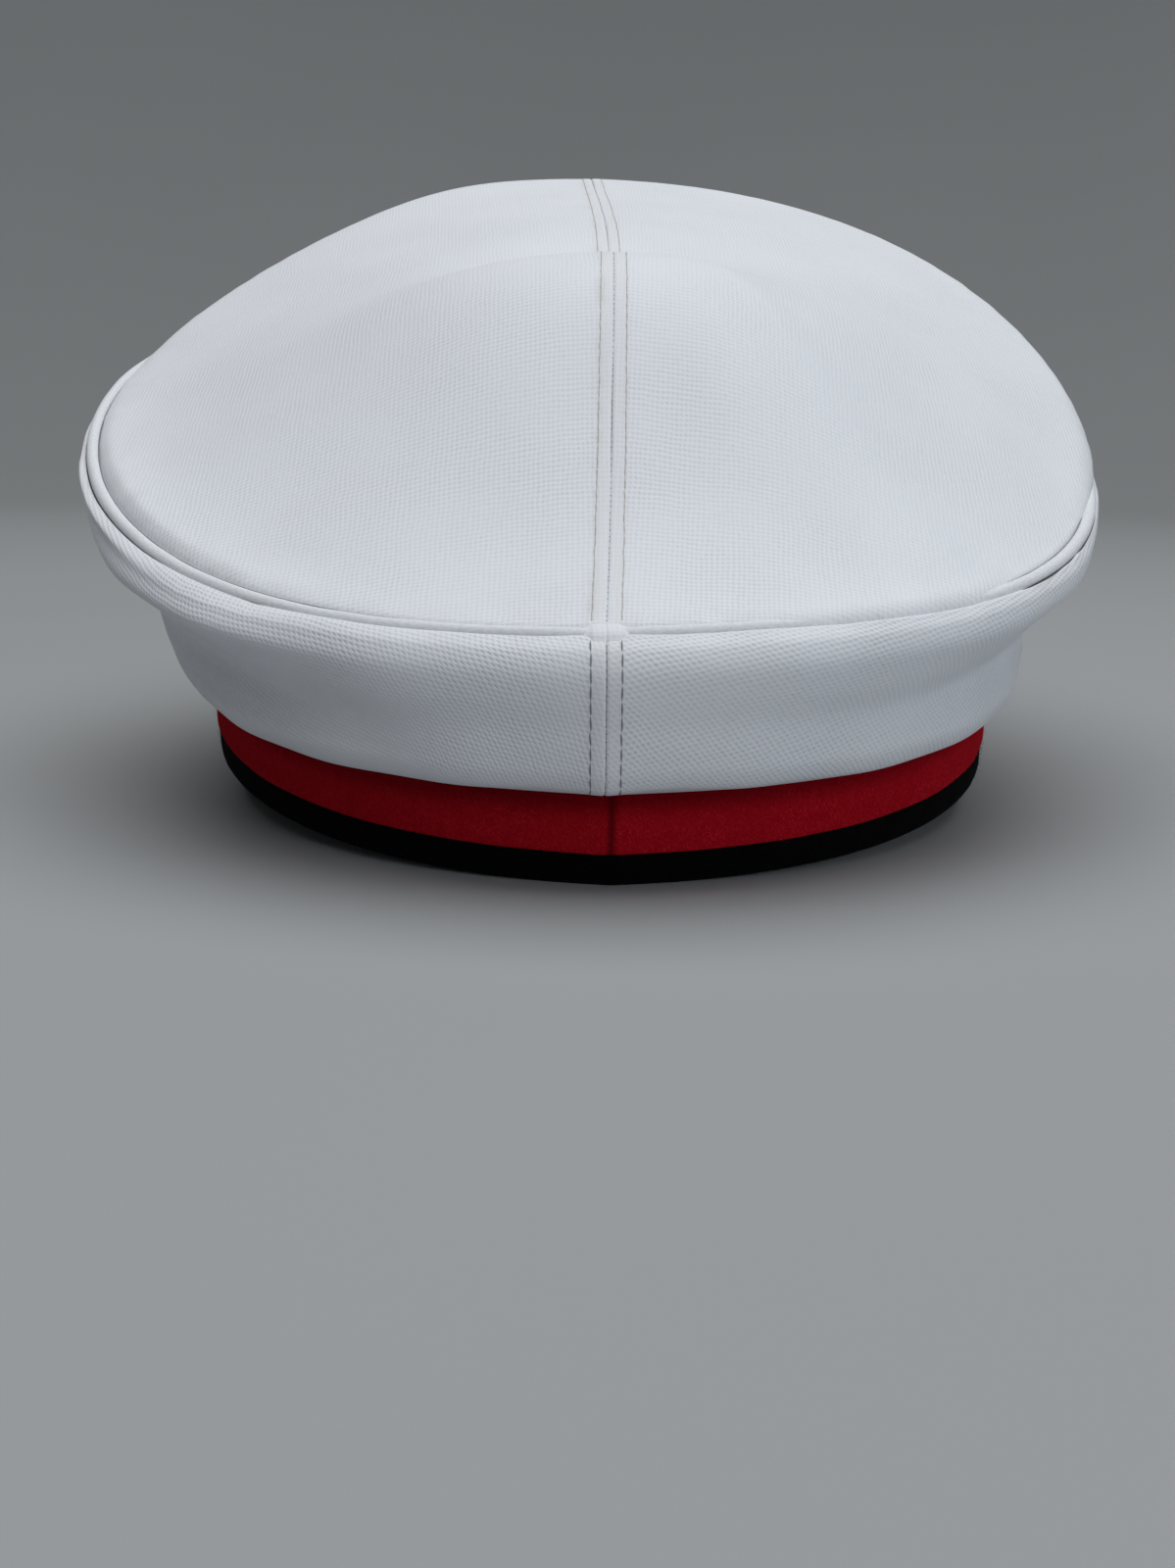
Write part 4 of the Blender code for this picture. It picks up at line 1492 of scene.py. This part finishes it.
@dataclass
class ChinStrap:
    """The plain strap laid on the band above the peak, and its two domed buttons."""

    width: float = 0.012
    wall: float = 0.002
    crown: float = 0.0003
    low: float = 0.0072
    tail: float = 0.008
    button_angle: float = math.radians(68)
    button_radius: float = 0.0055
    button_height: float = 0.004
    button_edge: float = 0.0014
    button_rim: float = 0.0007
    stations: int = 300
    around: int = 40
    turns: int = 48

    def build(self, leather: Material) -> None:
        """Make the strap: a flat profile with round edges and a low crown, carried along the band, its width
        drawn in by a half circle at both ends.

        Args:
            leather: material of the strap.
        """
        button, _ = FORM.band_line(math.pi - self.button_angle)
        radius = float(np.linalg.norm(button))
        reach = self.button_angle + self.tail / radius
        share = np.sin(np.linspace(-math.pi / 2, math.pi / 2, self.stations))
        angle = math.pi + share * reach
        to_end = np.clip((1 - np.abs(share)) * reach * radius / (self.width / 2), 0, 1)
        narrow = np.sqrt(np.clip(1 - (1 - to_end) ** 2, 0.0004, 1))[:, None]
        turn = full_turn(self.around)[None]
        round_edge = np.sign(np.sin(turn)) * np.abs(np.sin(turn)) ** 0.22
        flat_face = np.sign(np.cos(turn)) * np.abs(np.cos(turn)) ** 0.35
        up = self.low + self.width / 2 * (1 + narrow * round_edge)
        out = FORM.gap + self.wall / 2 * (1 + flat_face) + self.crown * (flat_face > 0) * (1 - round_edge**2)
        plan, normal = FORM.band_line(angle)
        sections = plan[:, None] + normal[:, None] * out[..., None]
        sections = np.concatenate([sections, up[..., None]], axis=-1)
        swept("strap_leather", sections).show([leather], Slot.STRAP, "chin_strap")

    def build_button(self, side: Side, brass: Material) -> None:
        """Make a button: rings of a domed profile with a small rolled rim, stacked along the band's normal.

        Args:
            side: which end of the strap.
            brass: material of the button.
        """
        stack = 2 * FORM.gap + self.wall + self.crown
        seat, normal = FORM.band_line(math.pi - side.value * self.button_angle, stack)
        turn = np.linspace(0, math.pi / 2, 16)
        rim = self.button_rim
        inner = self.button_radius - rim
        dome = np.column_stack([
            inner * np.cos(turn), self.button_edge + (self.button_height - self.button_edge) * np.sin(turn)])
        roll = np.linspace(-math.pi / 2, math.pi * 0.62, 12)
        lip = np.column_stack([inner + rim * np.cos(roll), rim + rim * np.sin(roll)])
        profile = np.concatenate([[(inner * 0.6, 0.0)], lip, dome[1:]])
        profile[-1, 0] = self.button_radius * 0.01
        around = full_turn(self.turns)
        ahead = np.array([-normal[1], normal[0], 0.0])
        centre = np.array([*seat, self.low + self.width / 2])
        circle = ahead * np.cos(around)[:, None] + np.array([0.0, 0.0, 1.0]) * np.sin(around)[:, None]
        sections = (centre + profile[:, None, :1] * circle
                    + profile[:, None, 1:] * np.array([*normal, 0.0]))
        piece = swept(f"button_{side.word}", sections)
        piece.show([brass], Slot.BUTTON, f"strap_button_{side.word}")


class Wiring:
    """Adds nodes to one node tree; an input takes a number, a colour or another node's output."""

    def __init__(self, tree: Tree) -> None:
        """Keep the tree."""
        self.tree = tree

    def node(self, kind: str, inputs: dict[str | int, object] | None = None,
             **settings: object) -> bpy.types.Node:
        """Add one node.

        Args:
            kind: the node's type, as Blender names it after ShaderNode.
            inputs: what goes into its inputs, by name or number.
            settings: its own settings.

        Returns:
            The node.
        """
        node = self.tree.nodes.new(kind if kind.startswith("NodeGroup") else f"ShaderNode{kind}")
        for setting, value in settings.items():
            setattr(node, setting, value)
        self.feed(node, inputs or {})
        return node

    def feed(self, node: bpy.types.Node, inputs: dict[str | int, object]) -> None:
        """Set or link a node's inputs."""
        for place, value in inputs.items():
            if isinstance(value, Socket):
                self.tree.links.new(value, node.inputs[place])
            else:
                node.inputs[place].default_value = value

    def group(self, tree: Tree, inputs: dict[str, object]) -> bpy.types.Node:
        """Add a node group; its inputs take the same as those of a node."""
        return self.node("Group", inputs, node_tree=tree)

    def math(self, operation: str, first: object, second: object = 0.0, third: object = 0.0) -> Socket:
        """Output of a Math node."""
        return self.node("Math", {0: first, 1: second, 2: third}, operation=operation).outputs[0]

    def vector(self, operation: str, first: object, second: object, output: int = 0) -> Socket:
        """Output of a Vector Math node of two vectors."""
        return self.node("VectorMath", {0: first, 1: second}, operation=operation).outputs[output]

    def noise(self, place: object, scale: object, detail: float = 2.0, rough: float = 0.5) -> Socket:
        """Value of a Noise Texture node, around one half."""
        inputs = {"Vector": place, "Scale": scale, "Detail": detail, "Roughness": rough}
        return self.node("TexNoise", inputs).outputs["Fac"]

    def mix(self, share: object, first: object, second: object) -> Socket:
        """Colour between two colours."""
        return self.node("Mix", {0: share, 6: first, 7: second}, data_type="RGBA").outputs[2]

    def grade(self, value: object, low: float, high: float, to_low: float = 0.0,
              to_high: float = 1.0) -> Socket:
        """A value carried smoothly from one range to another."""
        inputs = {0: value, 1: low, 2: high, 3: to_low, 4: to_high}
        return self.node("MapRange", inputs, interpolation_type="SMOOTHSTEP").outputs[0]

    def stretch(self, place: object, scale: Colour) -> Socket:
        """Places scaled along each axis."""
        return self.node("Mapping", {"Vector": place, "Scale": scale}).outputs[0]

    def bump(self, height: Socket, distance: float, **under: Socket) -> Socket:
        """Normal of a surface raised by a height times a distance, over another normal where one is given."""
        return self.node("Bump", {"Height": height, "Distance": distance, **under}).outputs[0]

    def cloth(self) -> Socket:
        """Place on the flat cloth, in metres."""
        return self.node("UVMap", uv_map="cloth").outputs[0]

    def place(self) -> Socket:
        """Place on the piece, in metres."""
        return self.node("TexCoord").outputs["Object"]

    def mark(self, name: str) -> Socket:
        """One of the piece's marks, from 0 to 1."""
        return self.node("Attribute", attribute_name=name).outputs["Fac"]


def new_group(name: str, inputs: dict[str, str], outputs: dict[str, str]) -> tuple[
        Tree, Wiring, bpy.types.NodeOutputs]:
    """Start a node group with named sockets.

    Args:
        name: the group's name.
        inputs: names and kinds of its inputs, such as Float or Vector.
        outputs: the same of its outputs.

    Returns:
        The group, its wiring and what it is given.
    """
    group = bpy.data.node_groups.new(name, "ShaderNodeTree")
    for way, sockets in (("INPUT", inputs), ("OUTPUT", outputs)):
        for socket, kind in sockets.items():
            group.interface.new_socket(name=socket, in_out=way, socket_type=f"NodeSocket{kind}")
    wire = Wiring(group)
    return group, wire, wire.node("NodeGroupInput").outputs


@dataclass
class Effects:
    """Node groups that several finishes share, each built once."""

    lattice: Tree
    mottle: Tree
    nap: Tree
    grain: Tree

    @classmethod
    def build(cls) -> "Effects":
        """Build the groups."""
        mottle = cls.sized_noise("soft_mottle", "Tone", 3.0, (0.3, 0.7))
        return cls(cls.dimple_lattice(), mottle, cls.felt_nap(), cls.sized_noise("fine_grain", "Height", 2.0))

    @staticmethod
    def dimple_lattice() -> Tree:
        """Dimples of pressed cloth.

        They lie where two sets of waves and, more weakly, the waves of their difference all crest, bent by
        noise. First and Second are waves per metre along each way of the cloth.
        """
        sockets = {"Place": "Vector", "First": "Vector", "Second": "Vector"}
        group, wire, given = new_group("dimple_lattice", sockets, {"Depth": "Float"})
        noise = wire.node("TexNoise", {"Vector": given["Place"], "Scale": 150.0, "Detail": 1.0})
        centred = wire.vector("SUBTRACT", noise.outputs["Color"], (0.5, 0.5, 0.5))
        shift = wire.node("VectorMath", {0: centred, "Scale": 0.0009}, operation="SCALE").outputs[0]
        moved = wire.vector("ADD", given["Place"], shift)
        first, second = (wire.math("MULTIPLY", wire.vector("DOT_PRODUCT", moved, given[way], 1), 2 * math.pi)
                         for way in ("First", "Second"))
        waves = wire.math("ADD", wire.math("COSINE", first), wire.math("COSINE", second))
        cross = wire.math("COSINE", wire.math("SUBTRACT", first, second))
        crests = wire.math("MULTIPLY_ADD", cross, 0.35, waves)
        uneven = wire.grade(wire.noise(given["Place"], 900.0, 1.0), 0.25, 0.75, 0.65, 1.0)
        depth = wire.math("MULTIPLY", wire.grade(crests, -1.5, 2.2), uneven)
        wire.node("NodeGroupOutput", {"Depth": depth})
        return group

    @staticmethod
    def sized_noise(name: str, output: str, detail: float, spread: Span | None = None) -> Tree:
        """Noise at a size, such as uneven tone or faint pebbles; a spread is carried to the range 0 to 1."""
        group, wire, given = new_group(name, {"Place": "Vector", "Size": "Float"}, {output: "Float"})
        noise = wire.noise(given["Place"], wire.math("DIVIDE", 1.0, given["Size"]), detail)
        wire.node("NodeGroupOutput", {output: wire.grade(noise, *spread) if spread else noise})
        return group

    @staticmethod
    def felt_nap() -> Tree:
        """Matted wool: short streaks in three slanting directions over soft clumps."""
        group, wire, given = new_group("felt_nap", {"Place": "Vector"}, {"Height": "Float", "Tone": "Float"})
        streaks = []
        for angle in (0.6, -0.9, 1.9):
            turned = wire.node("VectorRotate", {"Vector": given["Place"], "Angle": angle},
                               rotation_type="Z_AXIS").outputs[0]
            streaks.append(wire.noise(wire.stretch(turned, (1.0, 5.0, 1.0)), 900.0, 2.0, 0.6))
        fibres = wire.math("MAXIMUM", wire.math("MAXIMUM", streaks[0], streaks[1]), streaks[2])
        clumps = wire.noise(given["Place"], 420.0, 3.0, 0.55)
        height = wire.math("MULTIPLY_ADD", clumps, 0.6, wire.grade(fibres, 0.45, 0.8))
        wire.node("NodeGroupOutput", {"Height": height, "Tone": wire.grade(height, 0.35, 1.3)})
        return group


@dataclass(frozen=True)
class Finish:
    """A finish: one material with a Principled BSDF, whose values and inputs each kind of finish gives."""

    name: str
    colour: Colour

    def look(self, wire: Wiring, effects: Effects) -> dict[str, object]:
        """What goes into the shader's inputs."""
        raise NotImplementedError

    def material(self, effects: Effects) -> Material:
        """Build the material with the node groups that finishes share."""
        material = bpy.data.materials.new(self.name)
        material.use_nodes = True
        wire = Wiring(material.node_tree)
        wire.feed(material.node_tree.nodes["Principled BSDF"], self.look(wire, effects))
        return material


@dataclass(frozen=True)
class CoatedCloth(Finish):
    """White coated cloth: a satin skin with pressed dimples and painted shade in them, flat and warmer where
    seams press it.

    First and second are the dimples' two sets of waves: their lengths in metres and their angles in degrees.
    """

    pressed_colour: Colour
    soil_colour: Colour
    first: Span
    second: Span
    depth: float
    shade: float
    roughness: float = 0.58
    mottle_size: float = 0.030
    skin_depth: float = 0.000045

    def look(self, wire: Wiring, effects: Effects) -> dict[str, object]:
        """What goes into the shader's inputs."""
        cloth, place, pressed = wire.cloth(), wire.place(), wire.mark("pressed")
        ways = {way: (math.cos(math.radians(turn)) / length, math.sin(math.radians(turn)) / length, 0.0)
                for way, (length, turn) in (("First", self.first), ("Second", self.second))}
        lattice = wire.group(effects.lattice, {"Place": cloth, **ways}).outputs[0]
        mottle = wire.group(effects.mottle, {"Place": place, "Size": self.mottle_size}).outputs[0]
        worn = wire.grade(wire.noise(place, 45.0, 2.0), 0.3, 0.7, 0.6, 1.0)
        kept = wire.math("MULTIPLY_ADD", pressed, -0.4, 1.0)
        dimple = wire.math("MULTIPLY", wire.math("MULTIPLY", lattice, kept), worn)
        skin = wire.mix(wire.math("MULTIPLY", mottle, 0.4), (*self.colour, 1), (*self.pressed_colour, 1))
        skin = wire.mix(pressed, skin, (*self.pressed_colour, 1))
        dust = wire.grade(wire.noise(place, 160.0, 3.0), 0.35, 0.75, 0.05, 0.5)
        skin = wire.mix(wire.math("MULTIPLY", wire.mark("soil"), dust), skin, (*self.soil_colour, 1))
        # Painted shade in the dimples: the skin darkens where they are deep.
        skin = wire.mix(wire.math("MULTIPLY", dimple, self.shade), skin, (0.0, 0.0, 0.0, 1))
        rough = wire.math("MULTIPLY_ADD", mottle, 0.10, self.roughness)
        emboss = wire.bump(wire.math("SUBTRACT", 1.0, dimple), self.depth)
        normal = wire.bump(wire.noise(cloth, 1900.0, 3.0, 0.6), self.skin_depth, Normal=emboss)
        return {"Base Color": skin, "Roughness": rough, "Normal": normal, "Specular IOR Level": 0.30}


@dataclass(frozen=True)
class WeltCloth(Finish):
    """The same cloth drawn tight over a cord: lengthwise creases, darker along their low streaks by painted
    shade and uneven tone, and only a trace of the weave.
    """

    crease_shade_colour: Colour
    roughness: float = 0.68

    def look(self, wire: Wiring, effects: Effects) -> dict[str, object]:
        """What goes into the shader's inputs."""
        cloth = wire.cloth()
        streak = wire.noise(wire.stretch(cloth, (900.0, 2600.0, 1.0)), 1.0, 3.0, 0.6)
        ways = {"First": (1100.0, 300.0, 0.0), "Second": (-500.0, 1000.0, 0.0)}
        lattice = wire.group(effects.lattice, {"Place": cloth, **ways}).outputs[0]
        # Darker along the creases' low streaks: painted shade in the creases, with uneven tone.
        tint = wire.mix(wire.grade(streak, 0.35, 0.6), (*self.crease_shade_colour, 1), (*self.colour, 1))
        rough = wire.math("MULTIPLY_ADD", streak, 0.12, self.roughness)
        normal = wire.bump(wire.math("MULTIPLY_ADD", lattice, -0.35, streak), 0.00004)
        return {"Base Color": tint, "Roughness": rough, "Normal": normal, "Specular IOR Level": 0.16}


@dataclass(frozen=True)
class Felt(Finish):
    """Wool felt: a matted, uneven nap that catches a little light at its edges, with painted shade where it is
    shaded and a darker seam.
    """

    pale_colour: Colour
    seam_and_shade_colour: Colour
    sheen: float
    sheen_colour: Colour
    shaded: float = 0.55
    seamed: float = 0.75

    def look(self, wire: Wiring, effects: Effects) -> dict[str, object]:
        """What goes into the shader's inputs."""
        nap = wire.group(effects.nap, {"Place": wire.cloth()}).outputs
        mottle = wire.group(effects.mottle, {"Place": wire.place(), "Size": 0.012}).outputs[0]
        tone = wire.math("MULTIPLY", nap["Tone"], wire.grade(mottle, 0.0, 1.0, 0.7, 1.0))
        tint = wire.mix(tone, (*self.colour, 1), (*self.pale_colour, 1))
        # Painted shade under the fold, then the seam's dark joint, both mixed towards one dark colour.
        for mark, share in (("shaded", self.shaded), ("seam", self.seamed)):
            tint = wire.mix(wire.math("MULTIPLY", wire.mark(mark), share), tint, (*self.seam_and_shade_colour, 1))
        rough = wire.math("MULTIPLY_ADD", nap["Height"], 0.06, 0.90)
        return {"Base Color": tint, "Roughness": rough, "Normal": wire.bump(nap["Height"], 0.00010),
                "Specular IOR Level": 0.02, "Sheen Weight": self.sheen, "Sheen Roughness": 0.6,
                "Sheen Tint": (*self.sheen_colour, 1)}


@dataclass(frozen=True)
class Lacquered(Finish):
    """Lacquered leather or polished metal: a faint grain below a smooth shine."""

    worn_colour: Colour
    roughness: float
    metallic: float
    coat: float
    grain_size: float
    grain_depth: float

    def look(self, wire: Wiring, effects: Effects) -> dict[str, object]:
        """What goes into the shader's inputs."""
        place = wire.place()
        grain = wire.group(effects.grain, {"Place": place, "Size": self.grain_size}).outputs[0]
        mottle = wire.group(effects.mottle, {"Place": place, "Size": 0.018}).outputs[0]
        tint = wire.mix(wire.math("MULTIPLY", mottle, grain), (*self.colour, 1), (*self.worn_colour, 1))
        rough = wire.math("MULTIPLY_ADD", mottle, 0.08, self.roughness)
        return {"Base Color": tint, "Roughness": rough, "Normal": wire.bump(grain, self.grain_depth),
                "Metallic": self.metallic, "Coat Weight": self.coat, "Coat Roughness": 0.08}


@dataclass(frozen=True)
class Spun(Finish):
    """Spun thread or woven backing: fine slanting ply lines."""

    dark_colour: Colour
    scale: float

    def look(self, wire: Wiring, effects: Effects) -> dict[str, object]:
        """What goes into the shader's inputs."""
        ply = wire.noise(wire.stretch(wire.place(), (self.scale, self.scale * 0.4, self.scale)), 1.0, 2.0)
        tint = wire.mix(wire.grade(ply, 0.3, 0.7), (*self.dark_colour, 1), (*self.colour, 1))
        return {"Base Color": tint, "Roughness": wire.math("MULTIPLY_ADD", ply, 0.1, 0.75),
                "Normal": wire.bump(ply, 0.00003), "Specular IOR Level": 0.2}


class Lamp(NamedTuple):
    """One square soft light that points at the cap: place, length of its side, power in watts and colour."""

    name: str
    place: tuple[float, float, float]
    size: float
    power: float
    tint: Colour


LAMPS = (
    Lamp("overhead", (0.0, 0.0, 1.5), 1.8, 24.4, (0.985, 1.0, 1.0)),
    Lamp("back_high", (0.0, 1.3, 1.2), 1.2, 1.5, (1.0, 0.95, 0.95)),
    Lamp("right_low", (-1.0, 1.2, 0.45), 0.8, 6.2, (0.89, 0.95, 1.0)),
)
ROOM_LIGHT = 0.02


@dataclass
class Studio:
    """Pale floor, soft lights and the camera, which stands where the photograph's stood."""

    floor_colour: Colour = (0.35, 0.36, 0.37)
    flat_radius: float = 1.1
    curve_radius: float = 0.9
    cap_middle: float = 0.07
    camera_place: tuple[float, float, float] = (0.0094, 0.3791, 0.1159)
    camera_yaw: float = math.radians(-1.08)
    camera_pitch: float = math.radians(19.49)
    camera_roll: float = math.radians(0.87)
    focal_pixels: float = 1705.0
    image_height: float = 1600.0
    sensor: float = 36.0

    def build_floor(self) -> None:
        """Make the floor: a round sheet that curves up far off, so that no horizon shows."""
        turn = np.linspace(0, math.pi / 2, 24)
        flat = np.linspace(0.02, self.flat_radius, 30)
        reach = np.concatenate([flat, self.flat_radius + self.curve_radius * np.sin(turn[1:])])
        rise = np.concatenate([np.zeros(30), self.curve_radius * (1 - np.cos(turn[1:]))])
        around = full_turn(120)
        points = np.stack([reach[:, None] * np.cos(around), reach[:, None] * np.sin(around),
                           np.broadcast_to(rise[:, None], (len(reach), 120))], axis=-1).reshape(-1, 3)
        faces = grid_faces(len(reach), 120, wrap_columns=True)
        hub = np.column_stack([np.full(120, len(points)), np.arange(120), np.roll(np.arange(120), -1)])
        mesh = bpy.data.meshes.new("floor")
        mesh.from_pydata(np.vstack([points, [0, 0, 0]]).tolist(), [], faces[:, ::-1].tolist() + hub.tolist())
        mesh.shade_smooth()
        material = bpy.data.materials.new("pale_floor")
        material.use_nodes = True
        wire = Wiring(material.node_tree)
        shader = material.node_tree.nodes["Principled BSDF"]
        tone = wire.noise(wire.node("TexCoord").outputs["Object"], 3.0, 2.0)
        low, high = ((*(part * level for part in self.floor_colour), 1) for level in (0.97, 1.03))
        wire.tree.links.new(wire.mix(tone, low, high), shader.inputs["Base Color"])
        shader.inputs["Roughness"].default_value = 0.85
        shader.inputs["Specular IOR Level"].default_value = 0.1
        mesh.materials.append(material)
        floor = bpy.data.objects.new("floor", mesh)
        bpy.context.scene.collection.objects.link(floor)

    def put(self, item: bpy.types.Object, turn: Array, place: Sequence[float]) -> None:
        """Stand a light or the camera in the scene; the columns of turn are its own X, Y and Z."""
        item.matrix_world = Matrix([[*row, shift] for row, shift in zip(turn, place)] + [[0, 0, 0, 1]])
        bpy.context.scene.collection.objects.link(item)

    def build_lamp(self, lamp: Lamp) -> None:
        """Hang one soft light, turned to the cap."""
        light = bpy.data.lights.new(lamp.name, "AREA")
        light.size = lamp.size
        light.energy = lamp.power
        light.color = lamp.tint
        back = unit(np.array(lamp.place) - np.array([0.0, 0.0, self.cap_middle]))
        aside = unit(np.cross([0.0, 1.0, 0.001], back))
        turn = np.column_stack([aside, np.cross(back, aside), back])
        self.put(bpy.data.objects.new(lamp.name, light), turn, lamp.place)

    def build_camera(self) -> None:
        """Place the camera from its stand in the cap's frame: yaw off the centre line, pitch and roll."""
        yaw, pitch, roll = self.camera_yaw, self.camera_pitch, self.camera_roll
        flat = math.cos(pitch)
        ahead = np.array([math.sin(yaw) * flat, -math.cos(yaw) * flat, -math.sin(pitch)])
        level = unit(np.cross(ahead, [0.0, 0.0, 1.0]))
        over = np.cross(level, ahead)
        right = math.cos(roll) * level + math.sin(roll) * over
        up = math.cos(roll) * over - math.sin(roll) * level
        turn = FORM.stand(np.array([right, up, -ahead]), turn_only=True).T
        lens = bpy.data.cameras.new("camera")
        lens.sensor_width = self.sensor
        lens.lens = self.focal_pixels * self.sensor / self.image_height
        lens.clip_start = 0.01
        camera = bpy.data.objects.new("camera", lens)
        self.put(camera, turn, FORM.stand(np.array(self.camera_place)))
        bpy.context.scene.camera = camera

    def build_sky(self) -> None:
        """Light the room evenly and dimly, and keep the plain view of the colours."""
        world = bpy.data.worlds.new("room")
        world.use_nodes = True
        background = world.node_tree.nodes["Background"]
        background.inputs["Color"].default_value = (0.93, 0.96, 1.0, 1)
        background.inputs["Strength"].default_value = ROOM_LIGHT
        scene = bpy.context.scene
        scene.world = world
        scene.view_settings.view_transform = "Standard"
        scene.view_settings.look = "None"

    def build(self) -> None:
        """Set up the whole studio."""
        self.build_floor()
        for lamp in LAMPS:
            self.build_lamp(lamp)
        self.build_camera()
        self.build_sky()

WHITE, IVORY, SOILED = (0.76, 0.785, 0.84), (0.745, 0.765, 0.805), (0.60, 0.59, 0.56)
FINISHES = {
    "top": CoatedCloth(
        "coated_cloth_top", WHITE, IVORY, SOILED, (0.00088, 2.0), (0.00088, 92.0), 0.000070, 0.14),
    "side_left": CoatedCloth(
        "coated_cloth_side_left", WHITE, IVORY, SOILED, (0.00087, 104.0), (0.00087, -16.0), 0.000110, 0.18),
    "side_right": CoatedCloth(
        "coated_cloth_side_right", WHITE, IVORY, SOILED, (0.00087, 102.0), (0.00087, 45.0), 0.000110, 0.18),
    "piping": WeltCloth("welt_cloth", (0.74, 0.76, 0.80), (0.66, 0.68, 0.71)),
    "backing": Spun("woven_backing", (0.62, 0.61, 0.58), (0.42, 0.41, 0.39), 1800.0),
    "thread": Spun("grey_thread", (0.27, 0.28, 0.31), (0.17, 0.175, 0.19), 5000.0),
    "top_thread": Spun("pale_thread", (0.58, 0.56, 0.53), (0.40, 0.38, 0.35), 5000.0),
    "shadow": Spun("hole_shadow", (0.10, 0.095, 0.09), (0.05, 0.045, 0.04), 4000.0),
    "red": Felt("red_wool", (0.36, 0.0025, 0.009), (0.64, 0.018, 0.034), (0.05, 0.0, 0.002), 0.03,
                (1.0, 0.1, 0.1)),
    "black": Felt("black_wool", (0.0012, 0.0012, 0.0013), (0.0055, 0.0055, 0.006), (0.001, 0.001, 0.001),
                  0.015, (0.6, 0.6, 0.65)),
    "peak": Lacquered("lacquered_peak", (0.008, 0.008, 0.009), (0.016, 0.016, 0.017), 0.16, 0.0, 0.8, 0.0011,
                      0.000010),
    "strap": Lacquered("lacquered_strap", (0.009, 0.009, 0.010), (0.020, 0.020, 0.021), 0.22, 0.0, 0.6,
                       0.0008, 0.000012),
    "brass": Lacquered("plain_brass", (0.78, 0.58, 0.24), (0.60, 0.42, 0.16), 0.20, 1.0, 0.0, 0.0006,
                       0.000004),
}


def sew(finish: dict[str, Material], tops: dict[Side, Surface], sides: dict[Side, Surface],
        below: slice) -> None:
    """Sew the crown's seams: stitches down both sides of each and the marks of its join.

    Args:
        finish: every material by its use.
        tops: the halves of the top.
        sides: the halves of the side.
        below: rows of the side panels that the seams run over, past the turned-in edge.
    """
    marks = JoinMarks()
    Stitching(radius=0.00009, sink=0.00015).build(
        "stitches_top", [tops[way].line(SEAM.row_out) for way in Side], 0.0022, finish["top_thread"],
        finish["shadow"], Slot.TOP)
    for name, from_end in (("back", False), ("front", True)):
        rows, lips = (
            [tuple(part[below] for part in sides[way].line(out, from_end)) for way in Side]
            for out in (SEAM.row_out, marks.lip))
        Stitching().build(f"stitches_{name}", rows, 0.0004, finish["thread"], finish["shadow"], Slot.SIDE)
        marks.build(f"join_marks_{name}", *lips, 0.0006, finish["thread"], Slot.SIDE)
    lips = (tops[way].line(marks.lip) for way in Side)
    marks.build("join_marks_top", *lips, 0.0024, finish["thread"], Slot.TOP)


def main() -> None:
    """Build the cap piece by piece, then the studio."""
    logging.basicConfig(level=logging.INFO, format="%(name)s: %(message)s")
    effects = Effects.build()
    finish = {use: kind.material(effects) for use, kind in FINISHES.items()}
    top, side = CrownTop(), CrownSide()
    tops = {way: top.build(way, finish["top"], finish["backing"]) for way in Side}
    sides = {way: side.build(way, finish[f"side_{way.word}"], finish["backing"]) for way in Side}
    sew(finish, tops, sides, slice(3 * side.turn_in_steps - 4, None))
    piping = Piping()
    piping.build(finish["piping"])
    piping.build_cover(finish["top"])
    # Dark strands of painted shadow in the grooves beside the piping: the shadow's finish outside it, the
    # thread's inside.
    for line in SHADOW_LINES:
        piping.build_shadow_line(line, finish["shadow" if "outer" in line.name else "thread"])
    band = Band()
    band.build_felt(finish["red"])
    band.build_body(finish["black"])
    band.build_fuzz("fuzz_black", 0.0008, 0.0063, -0.0004, 5200, 201, finish["black"], Slot.BLACK)
    band.build_fuzz("fuzz_red", 0.0060, 0.0200, -0.0001, 5200, 202, finish["red"], Slot.RED)
    Peak().build(finish["peak"])
    strap = ChinStrap()
    strap.build(finish["strap"])
    for way in Side:
        strap.build_button(way, finish["brass"])
    Studio().build()


if __name__ == "__main__":
    main()
